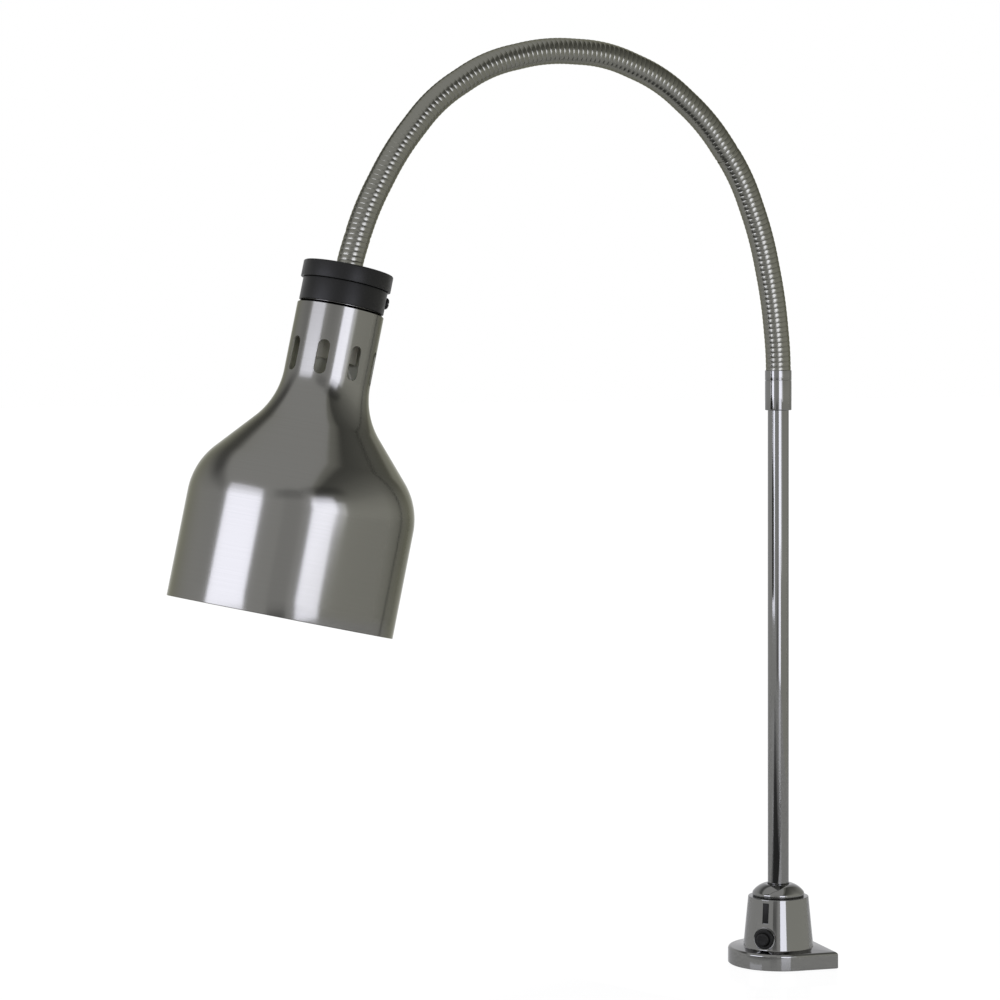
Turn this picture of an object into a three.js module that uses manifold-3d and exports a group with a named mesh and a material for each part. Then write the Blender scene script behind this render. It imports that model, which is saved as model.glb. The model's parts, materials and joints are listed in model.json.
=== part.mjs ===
// A heat lamp on a flexible arm: a plated base with a push switch, an upright post, a gooseneck
// hose and a spun shade round a reflector bulb.
// Lengths are in millimetres, angles in degrees, and +Z is up.
// The origin is the middle of the base's underside, on the post's axis, and the head hangs toward -X.
import * as THREE from "three";
import { mergeVertices } from "three/addons/utils/BufferGeometryUtils.js";
import Module from "manifold-3d";

const wasm = await Module();
wasm.setup();

// Fits and cuts
const gap = 0.3; // between pieces that touch
const overrun = 3; // how far a cut runs past the face that it cuts
const weld = 0.001; // vertices nearer than this are one

// Base casting. Bearings are round the post, from the middle of the flat end.
const baseTurn = 9.5; // from the arm's plane to the base's own
const flangeRadius = 41;
const flangeReach = 35.5; // from the post's axis to the flat end
const flangeHeight = 13.4;
const flangeChamfer = 1.2;
const coneFootRadius = 28.4;
const coneHeadRadius = 24.7;
const coneHeadHeight = 53;
const shoulderRound = 1.4;
const castingWall = 4;
const postBossDepth = 14;
const switchBossRadius = 9.4;
const switchBossReach = 28; // from the post's axis to the boss's face
const screwBossRadius = 3.6;
const fixingBossRadius = 5;
const fixingHoleRadius = 2.1;
const fixingHoleDepth = 9;
const bossMerge = 0.8; // how far a boss runs into the wall beside it

// Base cover, its screws and the earth screw
const coverThickness = 2;
const coverScrewRadius = 1.5;
const coverScrewHeadRadius = 2.8;
const coverScrewHeadHeight = 1.3;
const coverScrewLength = 7;
const earthScrewRadius = 1.6;
const earthScrewDepth = 2.5;
const earthScrewHeadRadius = 3.2;
const earthScrewHeadHeight = 2;
const earthScrewX = 26;
const earthScrewY = 12;

// Switch and legend plate
const switchBearing = 225;
const switchHeight = 23;
const switchFlangeRadius = 8;
const switchFlangeThickness = 1.6;
const switchBarrelRadius = 6.2;
const switchBarrelLength = 16;
const switchFloor = 2;
const switchButtonRadius = 5.2;
const switchButtonLength = 13;
const switchButtonProud = 2.4; // above the flange, when it is out
const switchNutThickness = 2.6;
const switchNutAcrossFlats = 15;
const switchNutSeat = 21.4; // from the post's axis to the nut's outer face
const legendWidth = 4.6;
const legendHeight = 16;
const legendThickness = 0.8;
const legendMiddle = 43.5; // height above the underside

// Cord inlet
const cordBearing = 45;
const cordInletHeight = 28;
const cordInletRadius = 6;
const cordBoreRadius = 3.8;
const cordLipRadius = 7;
const cordLipThickness = 1.2;
const cordBushingLength = 9;

// Post, its collar and its lock nut
const postRadius = 8.55;
const postWall = 1.6;
const postFoot = 33.5;
const postHead = 468;
const collarRadius = 22.4;
const collarBand = 0.5;
const collarDome = 17.7;
const collarDomeStart = 26; // degrees above the horizontal
const collarDomeEnd = 73;
const setScrewRadius = 2;
const setScrewLength = 8.5;
const setScrewRise = 4.6; // above the collar's foot
const setScrewBearing = 45;
const lockNutThickness = 6;
const lockNutAcrossFlats = 26;

// Coupling between post and hose
const couplingRadius = 10.75;
const couplingFoot = 449.7;
const couplingHeight = 24;
const ferruleHeight = 8;
const nippleRadius = 5.1;
const nippleWall = 1;
const lowerNippleFoot = 453;
const lowerNippleLength = 40;

// Hose: links with a ball at one end and a cup at the other, so each turns in the next
const hoseLength = 622.5;
const hoseRadius = 10.2;
const hoseBoreRadius = 6.5;
const hoseBallGap = 0.4;
const hoseStub = 11; // straight part at a link's cup
const hoseSpigotRadius = 9.2;
const hoseTurnDegrees = [6, 6.5, 9, 15.5, 14.5, 18.5, 19, 15, 18.5, 18, 10.5, 10.5, 6];

// Cap, measured down from its top face
const lidRadius = 34.3;
const lidHeight = 12.6;
const lidChamfer = 1;
const lidTopThickness = 3.4;
const lidWall = 3;
const capCollarRadius = 32.3;
const capCollarHeight = 17;
const capCollarWall = 1.7;
const capWebThickness = 3;
const upperNippleRise = 12; // into the hose
const upperNippleLength = 44;
const capNutThickness = 4;
const capNutAcrossFlats = 15;
const bracketDrop = 9; // below the cap's nut

// Shade
const shadeRadius = 86;
const shadeWall = 1.2;
const skirtHeight = 81;
const shoulderRadius = 54;
const flareRadius = 58;
const shoulderDegrees = 41.5;
const neckRadius = 33;
const neckHeight = 54; // from the end of the flare to the cap
const neckStep = 1.6;
const neckSpigot = 12; // up inside the cap
const slotCount = 8;
const slotWidth = 9.2;
const slotLength = 26;
const slotDrop = 29; // from the cap to the slots' upper ends
const slotBearing = 10.8; // of the first slot, from -Y toward +X
const shadeScrewRadius = 1.7;
const shadeScrewHeadRadius = 4.4;
const shadeScrewHeadHeight = 2.6;
const shadeScrewLength = 7;
const shadeScrewRise = 9.8; // above the cap collar's lower edge
const screwSlotWidth = 1;
const screwSlotDepth = 0.9;

// Lamp socket
const bracketRadius = 17;
const bracketThickness = 2;
const socketRadius = 19;
const socketHeight = 40;
const socketFloor = 10;
const socketWall = 4.85;
const socketChamfer = 1.5;
const shellThickness = 0.5;
const shellHeight = 27;
const tabRadius = 5;
const tabThickness = 1;
const socketScrewOffset = 13;
const socketScrewRadius = 1.6;
const socketScrewLength = 8;
const socketScrewHeadRadius = 3;
const socketScrewHeadHeight = 1.6;
const leadRadius = 1.1;
const leadOffset = 1.9;
const leadLength = 32;

// Reflector bulb, measured down from its contact
const bulbLength = 165;
const bulbRadius = 63.5;
const bulbGlass = 1;
const bulbCapRadius = 13;
const bulbCapLength = 27;
const bulbCapWall = 0.5;
const bulbCapCrownRadius = 6;
const bulbCapCrown = 4;
const bulbContactRadius = 4.6;
const bulbContactThickness = 1.4;
const bulbTailRadius = 11.8;
const bulbTailDepth = 17; // where the glass ends inside the screw cap
const bulbNeckRadius = 17;
const bulbNeckDepth = 36;
const bulbThroatRadius = 23;
const bulbThroatDepth = 50;
const bulbBellRadius = 45;
const bulbBellDepth = 90;
const bulbShoulderRadius = 58;
const bulbShoulderDepth = 113;
const bulbWaistDepth = 138; // the widest ring
const bulbBrimDepth = 151;
const bulbBrimRadius = 57;
const bulbFaceRadius = 35;
const bulbFaceDepth = 162;
const stemFlareRadius = 10;
const stemFlareThickness = 2;
const stemRadius = 3;
const stemLength = 40;
const filamentRadius = 0.6;
const filamentSpread = 14;
const filamentDrop = 22;

// Sides of the round pieces
const roundSides = 40;
const pipeSides = 24;
const hoseSides = 16;
const smallSides = 12;
const hexSides = 6;
const arcSteps = 4;
const hoseSteps = 3;
const ballSteps = 3;
const wireSides = 8;

// Places that follow from the sizes
const castingHeight = coneHeadHeight + shoulderRound;
const chamberTop = castingHeight - postBossDepth;
const recessTop = flangeHeight - castingWall;
const hoseFoot = couplingFoot + couplingHeight + gap + ferruleHeight;
const hosePitch = hoseLength / (hoseTurnDegrees.length - 1);
const capHeight = lidHeight + gap + capCollarHeight;
const bracketTop = lidHeight + 2 * gap + capWebThickness + capNutThickness + bracketDrop;
const socketTop = bracketTop + bracketThickness + gap;
const bulbTop = socketTop + socketFloor + tabThickness + 3 * gap;
const shadeScrewDepth = capHeight - shadeScrewRise;

const radians = THREE.MathUtils.degToRad;

// Materials
const material = (color, metalness, roughness) =>
  new THREE.MeshStandardMaterial({ color, metalness, roughness });
const chrome = () => material(0xb9bab6, 1, 0.12);
const spunAluminium = () => material(0x9c9c9a, 1, 0.3);
const hoseSteel = () => material(0x77776b, 1, 0.35);
const zincSteel = () => material(0xa5a7a8, 1, 0.4);
const brass = () => material(0xb08d4a, 1, 0.35);
const blackPlastic = () => material(0x262424, 0, 0.45);
const blackRubber = () => material(0x1c1c1c, 0, 0.8);
const porcelain = () => material(0xe6e2d8, 0, 0.3);
const bulbFrosted = () => material(0xf1eee6, 0, 0.35);
const tungsten = () => material(0x6a6a6a, 1, 0.5);
const leadCover = () => material(0xd8d2c4, 0, 0.7);

// A closed geometry as a solid that can be joined and cut. A solid comes back as it is.
function solid(shape) {
  if (!shape.isBufferGeometry) return shape;
  const bare = shape.clone();
  bare.deleteAttribute("normal");
  bare.deleteAttribute("uv");
  const merged = mergeVertices(bare, weld);
  const corners = merged.index.array;
  const kept = [];
  for (let i = 0; i < corners.length; i += 3) {
    const [a, b, c] = corners.slice(i, i + 3);
    if (a !== b && b !== c && c !== a) kept.push(a, b, c);
  }
  return new wasm.Manifold(
    new wasm.Mesh({
      numProp: 3,
      vertProperties: merged.attributes.position.array,
      triVerts: new Uint32Array(kept),
    }),
  );
}

const join = (...shapes) => shapes.map(solid).reduce((whole, next) => whole.add(next));
const cut = (body, ...tools) =>
  tools.map(solid).reduce((rest, tool) => rest.subtract(tool), solid(body));

// A named mesh of a shape.
function piece(name, shape, look) {
  const { numProp, vertProperties, triVerts } = solid(shape).getMesh();
  const geometry = new THREE.BufferGeometry();
  geometry.setAttribute("position", new THREE.BufferAttribute(vertProperties, numProp));
  geometry.setIndex(new THREE.BufferAttribute(triVerts, 1));
  geometry.computeVertexNormals();
  const mesh = new THREE.Mesh(geometry, look);
  mesh.name = name;
  return mesh;
}

// A round body from an outline of [radius, height] points, anticlockwise. An outline that misses
// the axis is closed on itself.
function turned(outline, sides = roundSides) {
  const points = outline.map(([radius, height]) => new THREE.Vector2(radius, height));
  const first = points[0];
  if (first.x > 0) points.push(first.clone());
  return new THREE.LatheGeometry(points, sides).rotateX(radians(90));
}

const rod = (radius, low, high, sides = smallSides) =>
  turned([[0, low], [radius, low], [radius, high], [0, high]], sides);

const pipe = (outer, inner, low, high, sides = pipeSides) =>
  turned([[inner, low], [outer, low], [outer, high], [inner, high]], sides);

const hexagon = (acrossFlats, low, high) =>
  rod(acrossFlats / 2 / Math.cos(Math.PI / hexSides), low, high, hexSides);

const nut = (acrossFlats, bore, low, high) =>
  cut(hexagon(acrossFlats, low, high), rod(bore, low - overrun, high + overrun, pipeSides));

// Points of an arc in an outline, without its first point.
function arc(centreRadius, centreHeight, radius, fromDegrees, toDegrees, steps = arcSteps) {
  return Array.from({ length: steps }, (_, i) => {
    const angle = radians(fromDegrees + ((toDegrees - fromDegrees) * (i + 1)) / steps);
    return [centreRadius + radius * Math.cos(angle), centreHeight + radius * Math.sin(angle)];
  });
}

// Turns a shape made along +Z so that it points outward at a bearing round the Z axis.
const outward = (shape, bearing, height) =>
  shape
    .rotateY(radians(90))
    .rotateZ(radians(bearing))
    .translate(0, 0, height);

// A flat plate with one round end and one square end.
function tombstone(radius, reach, low, high, chamfer = 0) {
  const shape = new THREE.Shape();
  shape.moveTo(reach, -radius);
  shape.lineTo(reach, radius);
  shape.lineTo(0, radius);
  shape.absarc(0, 0, radius, radians(90), radians(270), false);
  const settings = {
    depth: high - low - 2 * chamfer,
    bevelEnabled: chamfer > 0,
    bevelThickness: chamfer,
    bevelSize: chamfer,
    bevelOffset: -chamfer,
    bevelSegments: 1,
    curveSegments: pipeSides,
  };
  return new THREE.ExtrudeGeometry(shape, settings).translate(0, 0, low + chamfer);
}

// A slotted pan-head screw along +Z, with its head's seat at zero and its shank below.
function panScrew(shankRadius, shankLength, headRadius, headHeight) {
  const body = join(
    rod(headRadius, 0, headHeight),
    rod(shankRadius, -shankLength, headHeight / 2),
  );
  const slot = new THREE.BoxGeometry(3 * headRadius, screwSlotWidth, 2 * screwSlotDepth);
  return cut(body, slot.translate(0, 0, headHeight));
}

// Moves a solid as a geometry would be moved.
function moved(shape, change) {
  const { numProp, vertProperties, triVerts } = solid(shape).getMesh();
  const geometry = new THREE.BufferGeometry();
  geometry.setAttribute("position", new THREE.BufferAttribute(vertProperties, numProp));
  geometry.setIndex(new THREE.BufferAttribute(triVerts, 1));
  return change(geometry);
}

// Base

const besideWall = (wallPlace, bossRadius) => wallPlace - castingWall - bossRadius + bossMerge;
const screwBossX = besideWall(flangeReach, screwBossRadius);
const screwBossY = besideWall(flangeRadius, screwBossRadius);
const coverScrewPlaces = [
  [-screwBossY, 0],
  [screwBossX, -screwBossY],
  [screwBossX, screwBossY],
];
const fixingPlaces = [-1, 1].map((side) => [0, side * besideWall(flangeRadius, fixingBossRadius)]);
const coneRadiusAt = (height) =>
  coneFootRadius -
  ((coneFootRadius - coneHeadRadius) * (height - flangeHeight)) / (coneHeadHeight - flangeHeight);
const coneSlope = Math.atan(
  (coneFootRadius - coneHeadRadius) / (coneHeadHeight - flangeHeight),
);

const cordSeat = coneRadiusAt(cordInletHeight + cordLipRadius);

// A block on the switch's bearing that leans with the cone's side, its outer face on the cone.
const legendBlock = (width, height, thickness, proud) =>
  new THREE.BoxGeometry(thickness, width, height)
    .translate(proud - thickness / 2, 0, 0)
    .rotateY(-coneSlope)
    .translate(coneRadiusAt(legendMiddle), 0, legendMiddle)
    .rotateZ(radians(switchBearing));

function castingOutside() {
  const cone = turned([
    [0, flangeHeight / 2],
    [coneFootRadius, flangeHeight / 2],
    [coneFootRadius, flangeHeight],
    [coneHeadRadius, coneHeadHeight],
    ...arc(coneHeadRadius - shoulderRound, coneHeadHeight, shoulderRound, 0, 90),
    [0, castingHeight],
  ]);
  const boss = outward(rod(switchBossRadius, 0, switchBossReach, pipeSides), switchBearing, switchHeight);
  return join(tombstone(flangeRadius, flangeReach, 0, flangeHeight, flangeChamfer), cone, boss);
}

function castingHollow() {
  const chamber = turned([
    [0, -overrun],
    [coneFootRadius - castingWall, -overrun],
    [coneFootRadius - castingWall, flangeHeight],
    [coneHeadRadius - castingWall, chamberTop],
    [0, chamberTop],
  ]);
  const recess = tombstone(flangeRadius - castingWall, flangeReach - castingWall, -overrun, recessTop);
  const screwBosses = coverScrewPlaces.map(([x, y]) =>
    rod(screwBossRadius, coverThickness + gap, flangeHeight).translate(x, y, 0),
  );
  const fixingBosses = fixingPlaces.map(([x, y]) =>
    rod(fixingBossRadius, 0, flangeHeight, pipeSides).translate(x, y, 0),
  );
  return cut(join(chamber, recess), ...screwBosses, ...fixingBosses);
}

function baseCasting() {
  const screwHoles = coverScrewPlaces.map(([x, y]) =>
    rod(coverScrewRadius + gap, -overrun, coverScrewLength + gap).translate(x, y, 0),
  );
  const fixingHoles = fixingPlaces.map(([x, y]) =>
    rod(fixingHoleRadius, -overrun, fixingHoleDepth).translate(x, y, 0),
  );
  return cut(
    castingOutside(),
    castingHollow(),
    rod(postRadius + gap, chamberTop - overrun, castingHeight + overrun, pipeSides),
    outward(
      rod(switchBarrelRadius + gap, 0, switchBossReach + overrun, pipeSides),
      switchBearing,
      switchHeight,
    ),
    outward(
      rod(cordInletRadius, 0, coneFootRadius + overrun, pipeSides),
      cordBearing,
      cordInletHeight,
    ),
    outward(
      rod(cordLipRadius + gap, cordSeat, coneFootRadius + overrun, pipeSides),
      cordBearing,
      cordInletHeight,
    ),
    outward(
      rod(switchNutAcrossFlats / 2 + overrun, 0, switchNutSeat + gap, pipeSides),
      switchBearing,
      switchHeight,
    ),
    rod(earthScrewRadius + gap, 0, recessTop + earthScrewDepth + gap).translate(
      earthScrewX,
      earthScrewY,
      0,
    ),
    legendBlock(legendWidth + 2 * gap, legendHeight + 2 * gap, overrun + legendThickness + gap, overrun),
    ...screwHoles,
    ...fixingHoles,
  );
}

function baseCover() {
  const plate = tombstone(
    flangeRadius - castingWall - gap,
    flangeReach - castingWall - gap,
    0,
    coverThickness,
  );
  const screwHoles = coverScrewPlaces.map(([x, y]) =>
    join(
      rod(coverScrewRadius + gap, -overrun, coverThickness + overrun),
      rod(coverScrewHeadRadius + gap, -overrun, coverScrewHeadHeight + 2 * gap),
    ),
  );
  const placed = screwHoles.map((hole, i) =>
    moved(hole, (geometry) => geometry.translate(...coverScrewPlaces[i], 0)),
  );
  const bossHoles = fixingPlaces.map(([x, y]) =>
    rod(fixingBossRadius + gap, -overrun, coverThickness + overrun, pipeSides).translate(x, y, 0),
  );
  return cut(plate, ...placed, ...bossHoles);
}

// Head down in the cover, a little above the underside.
function coverScrew() {
  const body = join(
    rod(coverScrewHeadRadius, gap, gap + coverScrewHeadHeight),
    rod(coverScrewRadius, gap, coverScrewLength),
  );
  const slotDepth = gap + screwSlotDepth;
  return cut(body, new THREE.BoxGeometry(3 * coverScrewHeadRadius, screwSlotWidth, 2 * slotDepth));
}

function earthScrew() {
  const screw = panScrew(
    earthScrewRadius,
    earthScrewDepth,
    earthScrewHeadRadius,
    earthScrewHeadHeight,
  );
  return moved(screw, (geometry) =>
    geometry.rotateX(radians(180)).translate(earthScrewX, earthScrewY, recessTop - gap),
  );
}

function switchBody() {
  const seat = switchBossReach + gap;
  const top = seat + switchFlangeThickness;
  const bottom = seat - switchBarrelLength;
  const bore = switchButtonRadius + gap;
  const outline = [
    [0, bottom],
    [switchBarrelRadius, bottom],
    [switchBarrelRadius, seat],
    [switchFlangeRadius, seat],
    [switchFlangeRadius, top],
    [bore, top],
    [bore, bottom + switchFloor],
    [0, bottom + switchFloor],
  ];
  return outward(turned(outline, pipeSides), switchBearing, switchHeight);
}

function switchButton() {
  const top = switchBossReach + gap + switchFlangeThickness + switchButtonProud;
  const outline = [
    [0, top - switchButtonLength],
    [switchButtonRadius, top - switchButtonLength],
    [switchButtonRadius, top - switchButtonProud / 3],
    [switchButtonRadius - switchButtonProud / 3, top],
    [0, top],
  ];
  return outward(turned(outline, pipeSides), switchBearing, switchHeight);
}

function switchNut() {
  const ring = nut(
    switchNutAcrossFlats,
    switchBarrelRadius + gap,
    switchNutSeat - switchNutThickness,
    switchNutSeat,
  );
  return moved(ring, (geometry) => outward(geometry, switchBearing, switchHeight));
}

function cordBushing() {
  const seat = cordSeat + gap;
  const body = cordInletRadius - gap;
  const outline = [
    [cordBoreRadius, seat + cordLipThickness - cordBushingLength],
    [body, seat + cordLipThickness - cordBushingLength],
    [body, seat],
    [cordLipRadius, seat],
    [cordLipRadius, seat + cordLipThickness],
    [cordBoreRadius, seat + cordLipThickness],
  ];
  return outward(turned(outline, pipeSides), cordBearing, cordInletHeight);
}

const collarFoot = castingHeight + gap;
const setScrewHeight = collarFoot + setScrewRise;

function postCollar() {
  const start = radians(collarDomeStart);
  const centreRadius = collarRadius - collarDome * Math.cos(start);
  const centreHeight = collarFoot + collarBand - collarDome * Math.sin(start);
  const top = centreHeight + collarDome * Math.sin(radians(collarDomeEnd));
  const bore = postRadius + gap;
  const body = turned([
    [bore, collarFoot],
    [collarRadius, collarFoot],
    [collarRadius, collarFoot + collarBand],
    ...arc(centreRadius, centreHeight, collarDome, collarDomeStart, collarDomeEnd),
    [bore, top],
  ]);
  const screwHole = outward(
    rod(setScrewRadius + gap, 0, collarRadius + overrun),
    setScrewBearing,
    setScrewHeight,
  );
  return cut(body, screwHole);
}

const setScrew = () =>
  outward(
    rod(setScrewRadius, postRadius + gap, postRadius + gap + setScrewLength),
    setScrewBearing,
    setScrewHeight,
  );

function buildBase() {
  const base = new THREE.Group();
  base.add(piece("base_casting", baseCasting(), chrome()));
  base.add(piece("base_cover_plate", baseCover(), zincSteel()));
  coverScrewPlaces.forEach(([x, y], i) => {
    const screw = piece("cover_screw_" + (i + 1), coverScrew(), zincSteel());
    screw.position.set(x, y, 0);
    base.add(screw);
  });
  base.add(piece("earth_screw", earthScrew(), brass()));
  base.add(piece("switch_body", switchBody(), blackPlastic()));
  base.add(piece("switch_button", switchButton(), blackPlastic()));
  base.add(piece("switch_nut", switchNut(), zincSteel()));
  base.add(
    piece(
      "legend_plate",
      legendBlock(legendWidth, legendHeight, legendThickness, 0),
      blackPlastic(),
    ),
  );
  base.add(piece("cord_bushing", cordBushing(), blackRubber()));
  base.add(piece("post_collar", postCollar(), chrome()));
  base.add(piece("collar_set_screw", setScrew(), zincSteel()));
  base.rotation.z = -radians(baseTurn);
  return base;
}

// Post

function postCoupling() {
  const head = couplingFoot + couplingHeight;
  const outline = [
    [postRadius + gap, couplingFoot],
    [couplingRadius, couplingFoot],
    [couplingRadius, head],
    [nippleRadius + gap, head],
    [nippleRadius + gap, postHead + gap],
    [postRadius + gap, postHead + gap],
  ];
  return turned(outline, pipeSides);
}

function buildPost() {
  const post = new THREE.Group();
  const ferruleFoot = couplingFoot + couplingHeight + gap;
  const nutTop = chamberTop - gap;
  post.add(
    piece("post_tube", pipe(postRadius, postRadius - postWall, postFoot, postHead), chrome()),
  );
  post.add(
    piece(
      "post_lock_nut",
      nut(lockNutAcrossFlats, postRadius + gap, nutTop - lockNutThickness, nutTop),
      zincSteel(),
    ),
  );
  post.add(piece("post_coupling", postCoupling(), chrome()));
  post.add(
    piece(
      "hose_ferrule",
      pipe(couplingRadius, hoseSpigotRadius + gap, ferruleFoot, ferruleFoot + ferruleHeight),
      chrome(),
    ),
  );
  post.add(
    piece(
      "hose_nipple_lower",
      pipe(
        nippleRadius,
        nippleRadius - nippleWall,
        lowerNippleFoot,
        lowerNippleFoot + lowerNippleLength,
      ),
      zincSteel(),
    ),
  );
  return post;
}

// Hose

// Heights between two ends, with both ends.
const spaced = (from, to, steps) =>
  Array.from({ length: steps + 1 }, (_, i) => from + ((to - from) * i) / steps);

// A straight link. Its joint centres are at zero and at its length.
function straightLink(length, stub, hasCup, hasBall) {
  const ballHeight = Math.sqrt(hoseRadius ** 2 - hoseBoreRadius ** 2);
  const cupRadius = hoseRadius + hoseBallGap;
  const cupOuter = Math.sqrt(cupRadius ** 2 - hoseRadius ** 2);
  const cupInner = Math.sqrt(cupRadius ** 2 - hoseBoreRadius ** 2);
  const edgeDegrees = (radius) => THREE.MathUtils.radToDeg(Math.acos(hoseBoreRadius / radius));
  const low = hasCup ? cupOuter : 0;
  const wall = spaced(stub, length, hoseSteps);
  const outside = [low, ...wall].filter((height, i) => i === 0 || height > low);
  const outline = outside.map((height) => [hoseRadius, height]);
  if (hasBall) outline.push(...arc(0, length, hoseRadius, 0, edgeDegrees(hoseRadius), ballSteps));
  const boreTop = hasBall ? length + ballHeight : length;
  const boreFoot = hasCup ? cupInner : 0;
  const inside = [...wall.filter((height) => height > boreFoot && height < boreTop)].reverse();
  if (!hasBall) outline.push([hoseBoreRadius, boreTop]);
  outline.push(...inside.map((height) => [hoseBoreRadius, height]));
  outline.push([hoseBoreRadius, boreFoot]);
  if (hasCup) {
    const first = THREE.MathUtils.radToDeg(Math.asin(cupOuter / cupRadius));
    outline.push(...arc(0, 0, cupRadius, edgeDegrees(cupRadius), first, ballSteps).slice(0, -1));
  }
  return turned(outline, hoseSides);
}

// Bends a straight link toward -X: straight up to the stub, an arc up to its length, straight on.
function bent(geometry, stub, length, turn) {
  const radius = (length - stub) / turn;
  const places = geometry.attributes.position;
  for (let i = 0; i < places.count; i++) {
    const offset = places.getX(i);
    const height = places.getZ(i);
    if (height <= stub) continue;
    const angle = (turn * Math.min(height - stub, length - stub)) / (length - stub);
    const past = Math.max(height - length, 0);
    const x = (radius + offset) * Math.cos(angle) - radius - past * Math.sin(angle);
    const z = stub + (radius + offset) * Math.sin(angle) + past * Math.cos(angle);
    places.setXYZ(i, x, places.getY(i), z);
  }
  return geometry;
}

const linkLength = (index) => {
  const isEnd = index === 0 || index === hoseTurnDegrees.length - 1;
  return isEnd ? hosePitch / 2 : hosePitch;
};
const linkStub = (index) => (index === 0 ? 0 : hoseStub);

function hoseLink(index) {
  const last = hoseTurnDegrees.length - 1;
  const length = linkLength(index);
  const stub = linkStub(index);
  const straight = straightLink(length, stub, index > 0, index < last);
  const link = bent(straight, stub, length, radians(hoseTurnDegrees[index]));
  if (index > 0) return link;
  return join(link, pipe(hoseSpigotRadius, hoseBoreRadius + gap, gap - ferruleHeight, gap, hoseSides));
}

// The frame at the end of a link: its +Z runs along the hose there.
function linkEnd(index) {
  const turn = radians(hoseTurnDegrees[index]);
  const stub = linkStub(index);
  const radius = (linkLength(index) - stub) / turn;
  const end = new THREE.Group();
  end.position.set(radius * Math.cos(turn) - radius, 0, stub + radius * Math.sin(turn));
  end.rotation.y = -turn;
  return end;
}

// Every link hangs from the end of the one before it. Returns the hose and the frame at its end.
function buildHose() {
  const hose = new THREE.Group();
  hose.position.z = hoseFoot;
  let frame = hose;
  hoseTurnDegrees.forEach((_, index) => {
    const name = "hose_link_" + String(index).padStart(2, "0");
    frame.add(piece(name, hoseLink(index), hoseSteel()));
    const end = linkEnd(index);
    frame.add(end);
    frame = end;
  });
  return { hose, end: frame };
}

// Head, in a frame whose origin is the middle of the cap's top face and whose +Z runs up its axis

function capLid() {
  const bore = nippleRadius + gap;
  return turned([
    [bore, -lidTopThickness],
    [lidRadius - lidWall, -lidTopThickness],
    [lidRadius - lidWall, -lidHeight],
    [lidRadius, -lidHeight],
    [lidRadius, -lidChamfer],
    [lidRadius - lidChamfer, 0],
    [hoseRadius + 2 * gap, 0],
    [hoseRadius + 2 * gap, -gap - lidChamfer],
    [bore, -gap - lidChamfer],
  ]);
}

const collarTop = -lidHeight - gap;
const capFoot = -capHeight;
const collarInside = capCollarRadius - capCollarWall;

function capCollar() {
  const bore = nippleRadius + gap;
  const hubTop = -lidTopThickness - gap;
  const hubRadius = capNutAcrossFlats / 2;
  const body = turned([
    [bore, collarTop - capWebThickness],
    [collarInside, collarTop - capWebThickness],
    [collarInside, capFoot],
    [capCollarRadius, capFoot],
    [capCollarRadius, collarTop],
    [hubRadius, collarTop],
    [hubRadius, hubTop],
    [bore, hubTop],
  ]);
  return cut(body, shadeScrewHole());
}

// Bearings in the head are from -Y toward +X, so they start a quarter turn before +X.
const headBearing = (bearing) => bearing - 90;
const slotPitch = 360 / slotCount;
const shadeScrewBearing = headBearing(slotBearing + 1.5 * slotPitch);

const shadeScrewHole = () =>
  outward(rod(shadeScrewRadius + gap, 0, lidRadius), shadeScrewBearing, -shadeScrewDepth);

function shadeScrew() {
  const screw = panScrew(
    shadeScrewRadius,
    shadeScrewLength,
    shadeScrewHeadRadius,
    shadeScrewHeadHeight,
  );
  return moved(screw, (geometry) =>
    outward(
      geometry.translate(0, 0, capCollarRadius + gap),
      shadeScrewBearing,
      -shadeScrewDepth,
    ),
  );
}

// Shade: a bell, and a neck with a flared foot that goes on up into the cap
const shoulderTurn = radians(shoulderDegrees);
const curvedDrop = (shoulderRadius + flareRadius) * (1 - Math.cos(shoulderTurn));
const slantDrop = shadeRadius - neckRadius - curvedDrop;
const bellHeight =
  skirtHeight +
  (shoulderRadius + flareRadius) * Math.sin(shoulderTurn) +
  slantDrop / Math.tan(shoulderTurn);
const neckEnd = bellHeight + neckHeight;
const rimDepth = neckEnd + capHeight + gap;

// The foot of the flare on a line moved in by an inset, a little way back down the slant.
const flareFoot = (inset, back) => [
  neckRadius + flareRadius - (flareRadius + inset) * Math.cos(shoulderTurn) + back * Math.sin(shoulderTurn),
  bellHeight - (flareRadius + inset) * Math.sin(shoulderTurn) - back * Math.cos(shoulderTurn),
];

const bellLine = (inset) => [
  [shadeRadius - inset, 0],
  [shadeRadius - inset, skirtHeight],
  ...arc(shadeRadius - shoulderRadius, skirtHeight, shoulderRadius - inset, 0, shoulderDegrees),
  flareFoot(inset, gap),
];

const neckLine = (inset) => {
  const spigotRadius = collarInside - gap - inset;
  return [
    flareFoot(inset, 0),
    ...arc(neckRadius + flareRadius, bellHeight, flareRadius + inset, 180 + shoulderDegrees, 180),
    [neckRadius - inset, neckEnd - neckStep],
    [spigotRadius, neckEnd - inset / 2],
    [spigotRadius, neckEnd + neckSpigot],
  ];
};

const shell = (line) =>
  turned([...line(0), ...line(shadeWall).reverse()]).translate(0, 0, -rimDepth);

const shadeNeck = () => cut(shell(neckLine), ...ventSlots(), shadeScrewHole());

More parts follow.
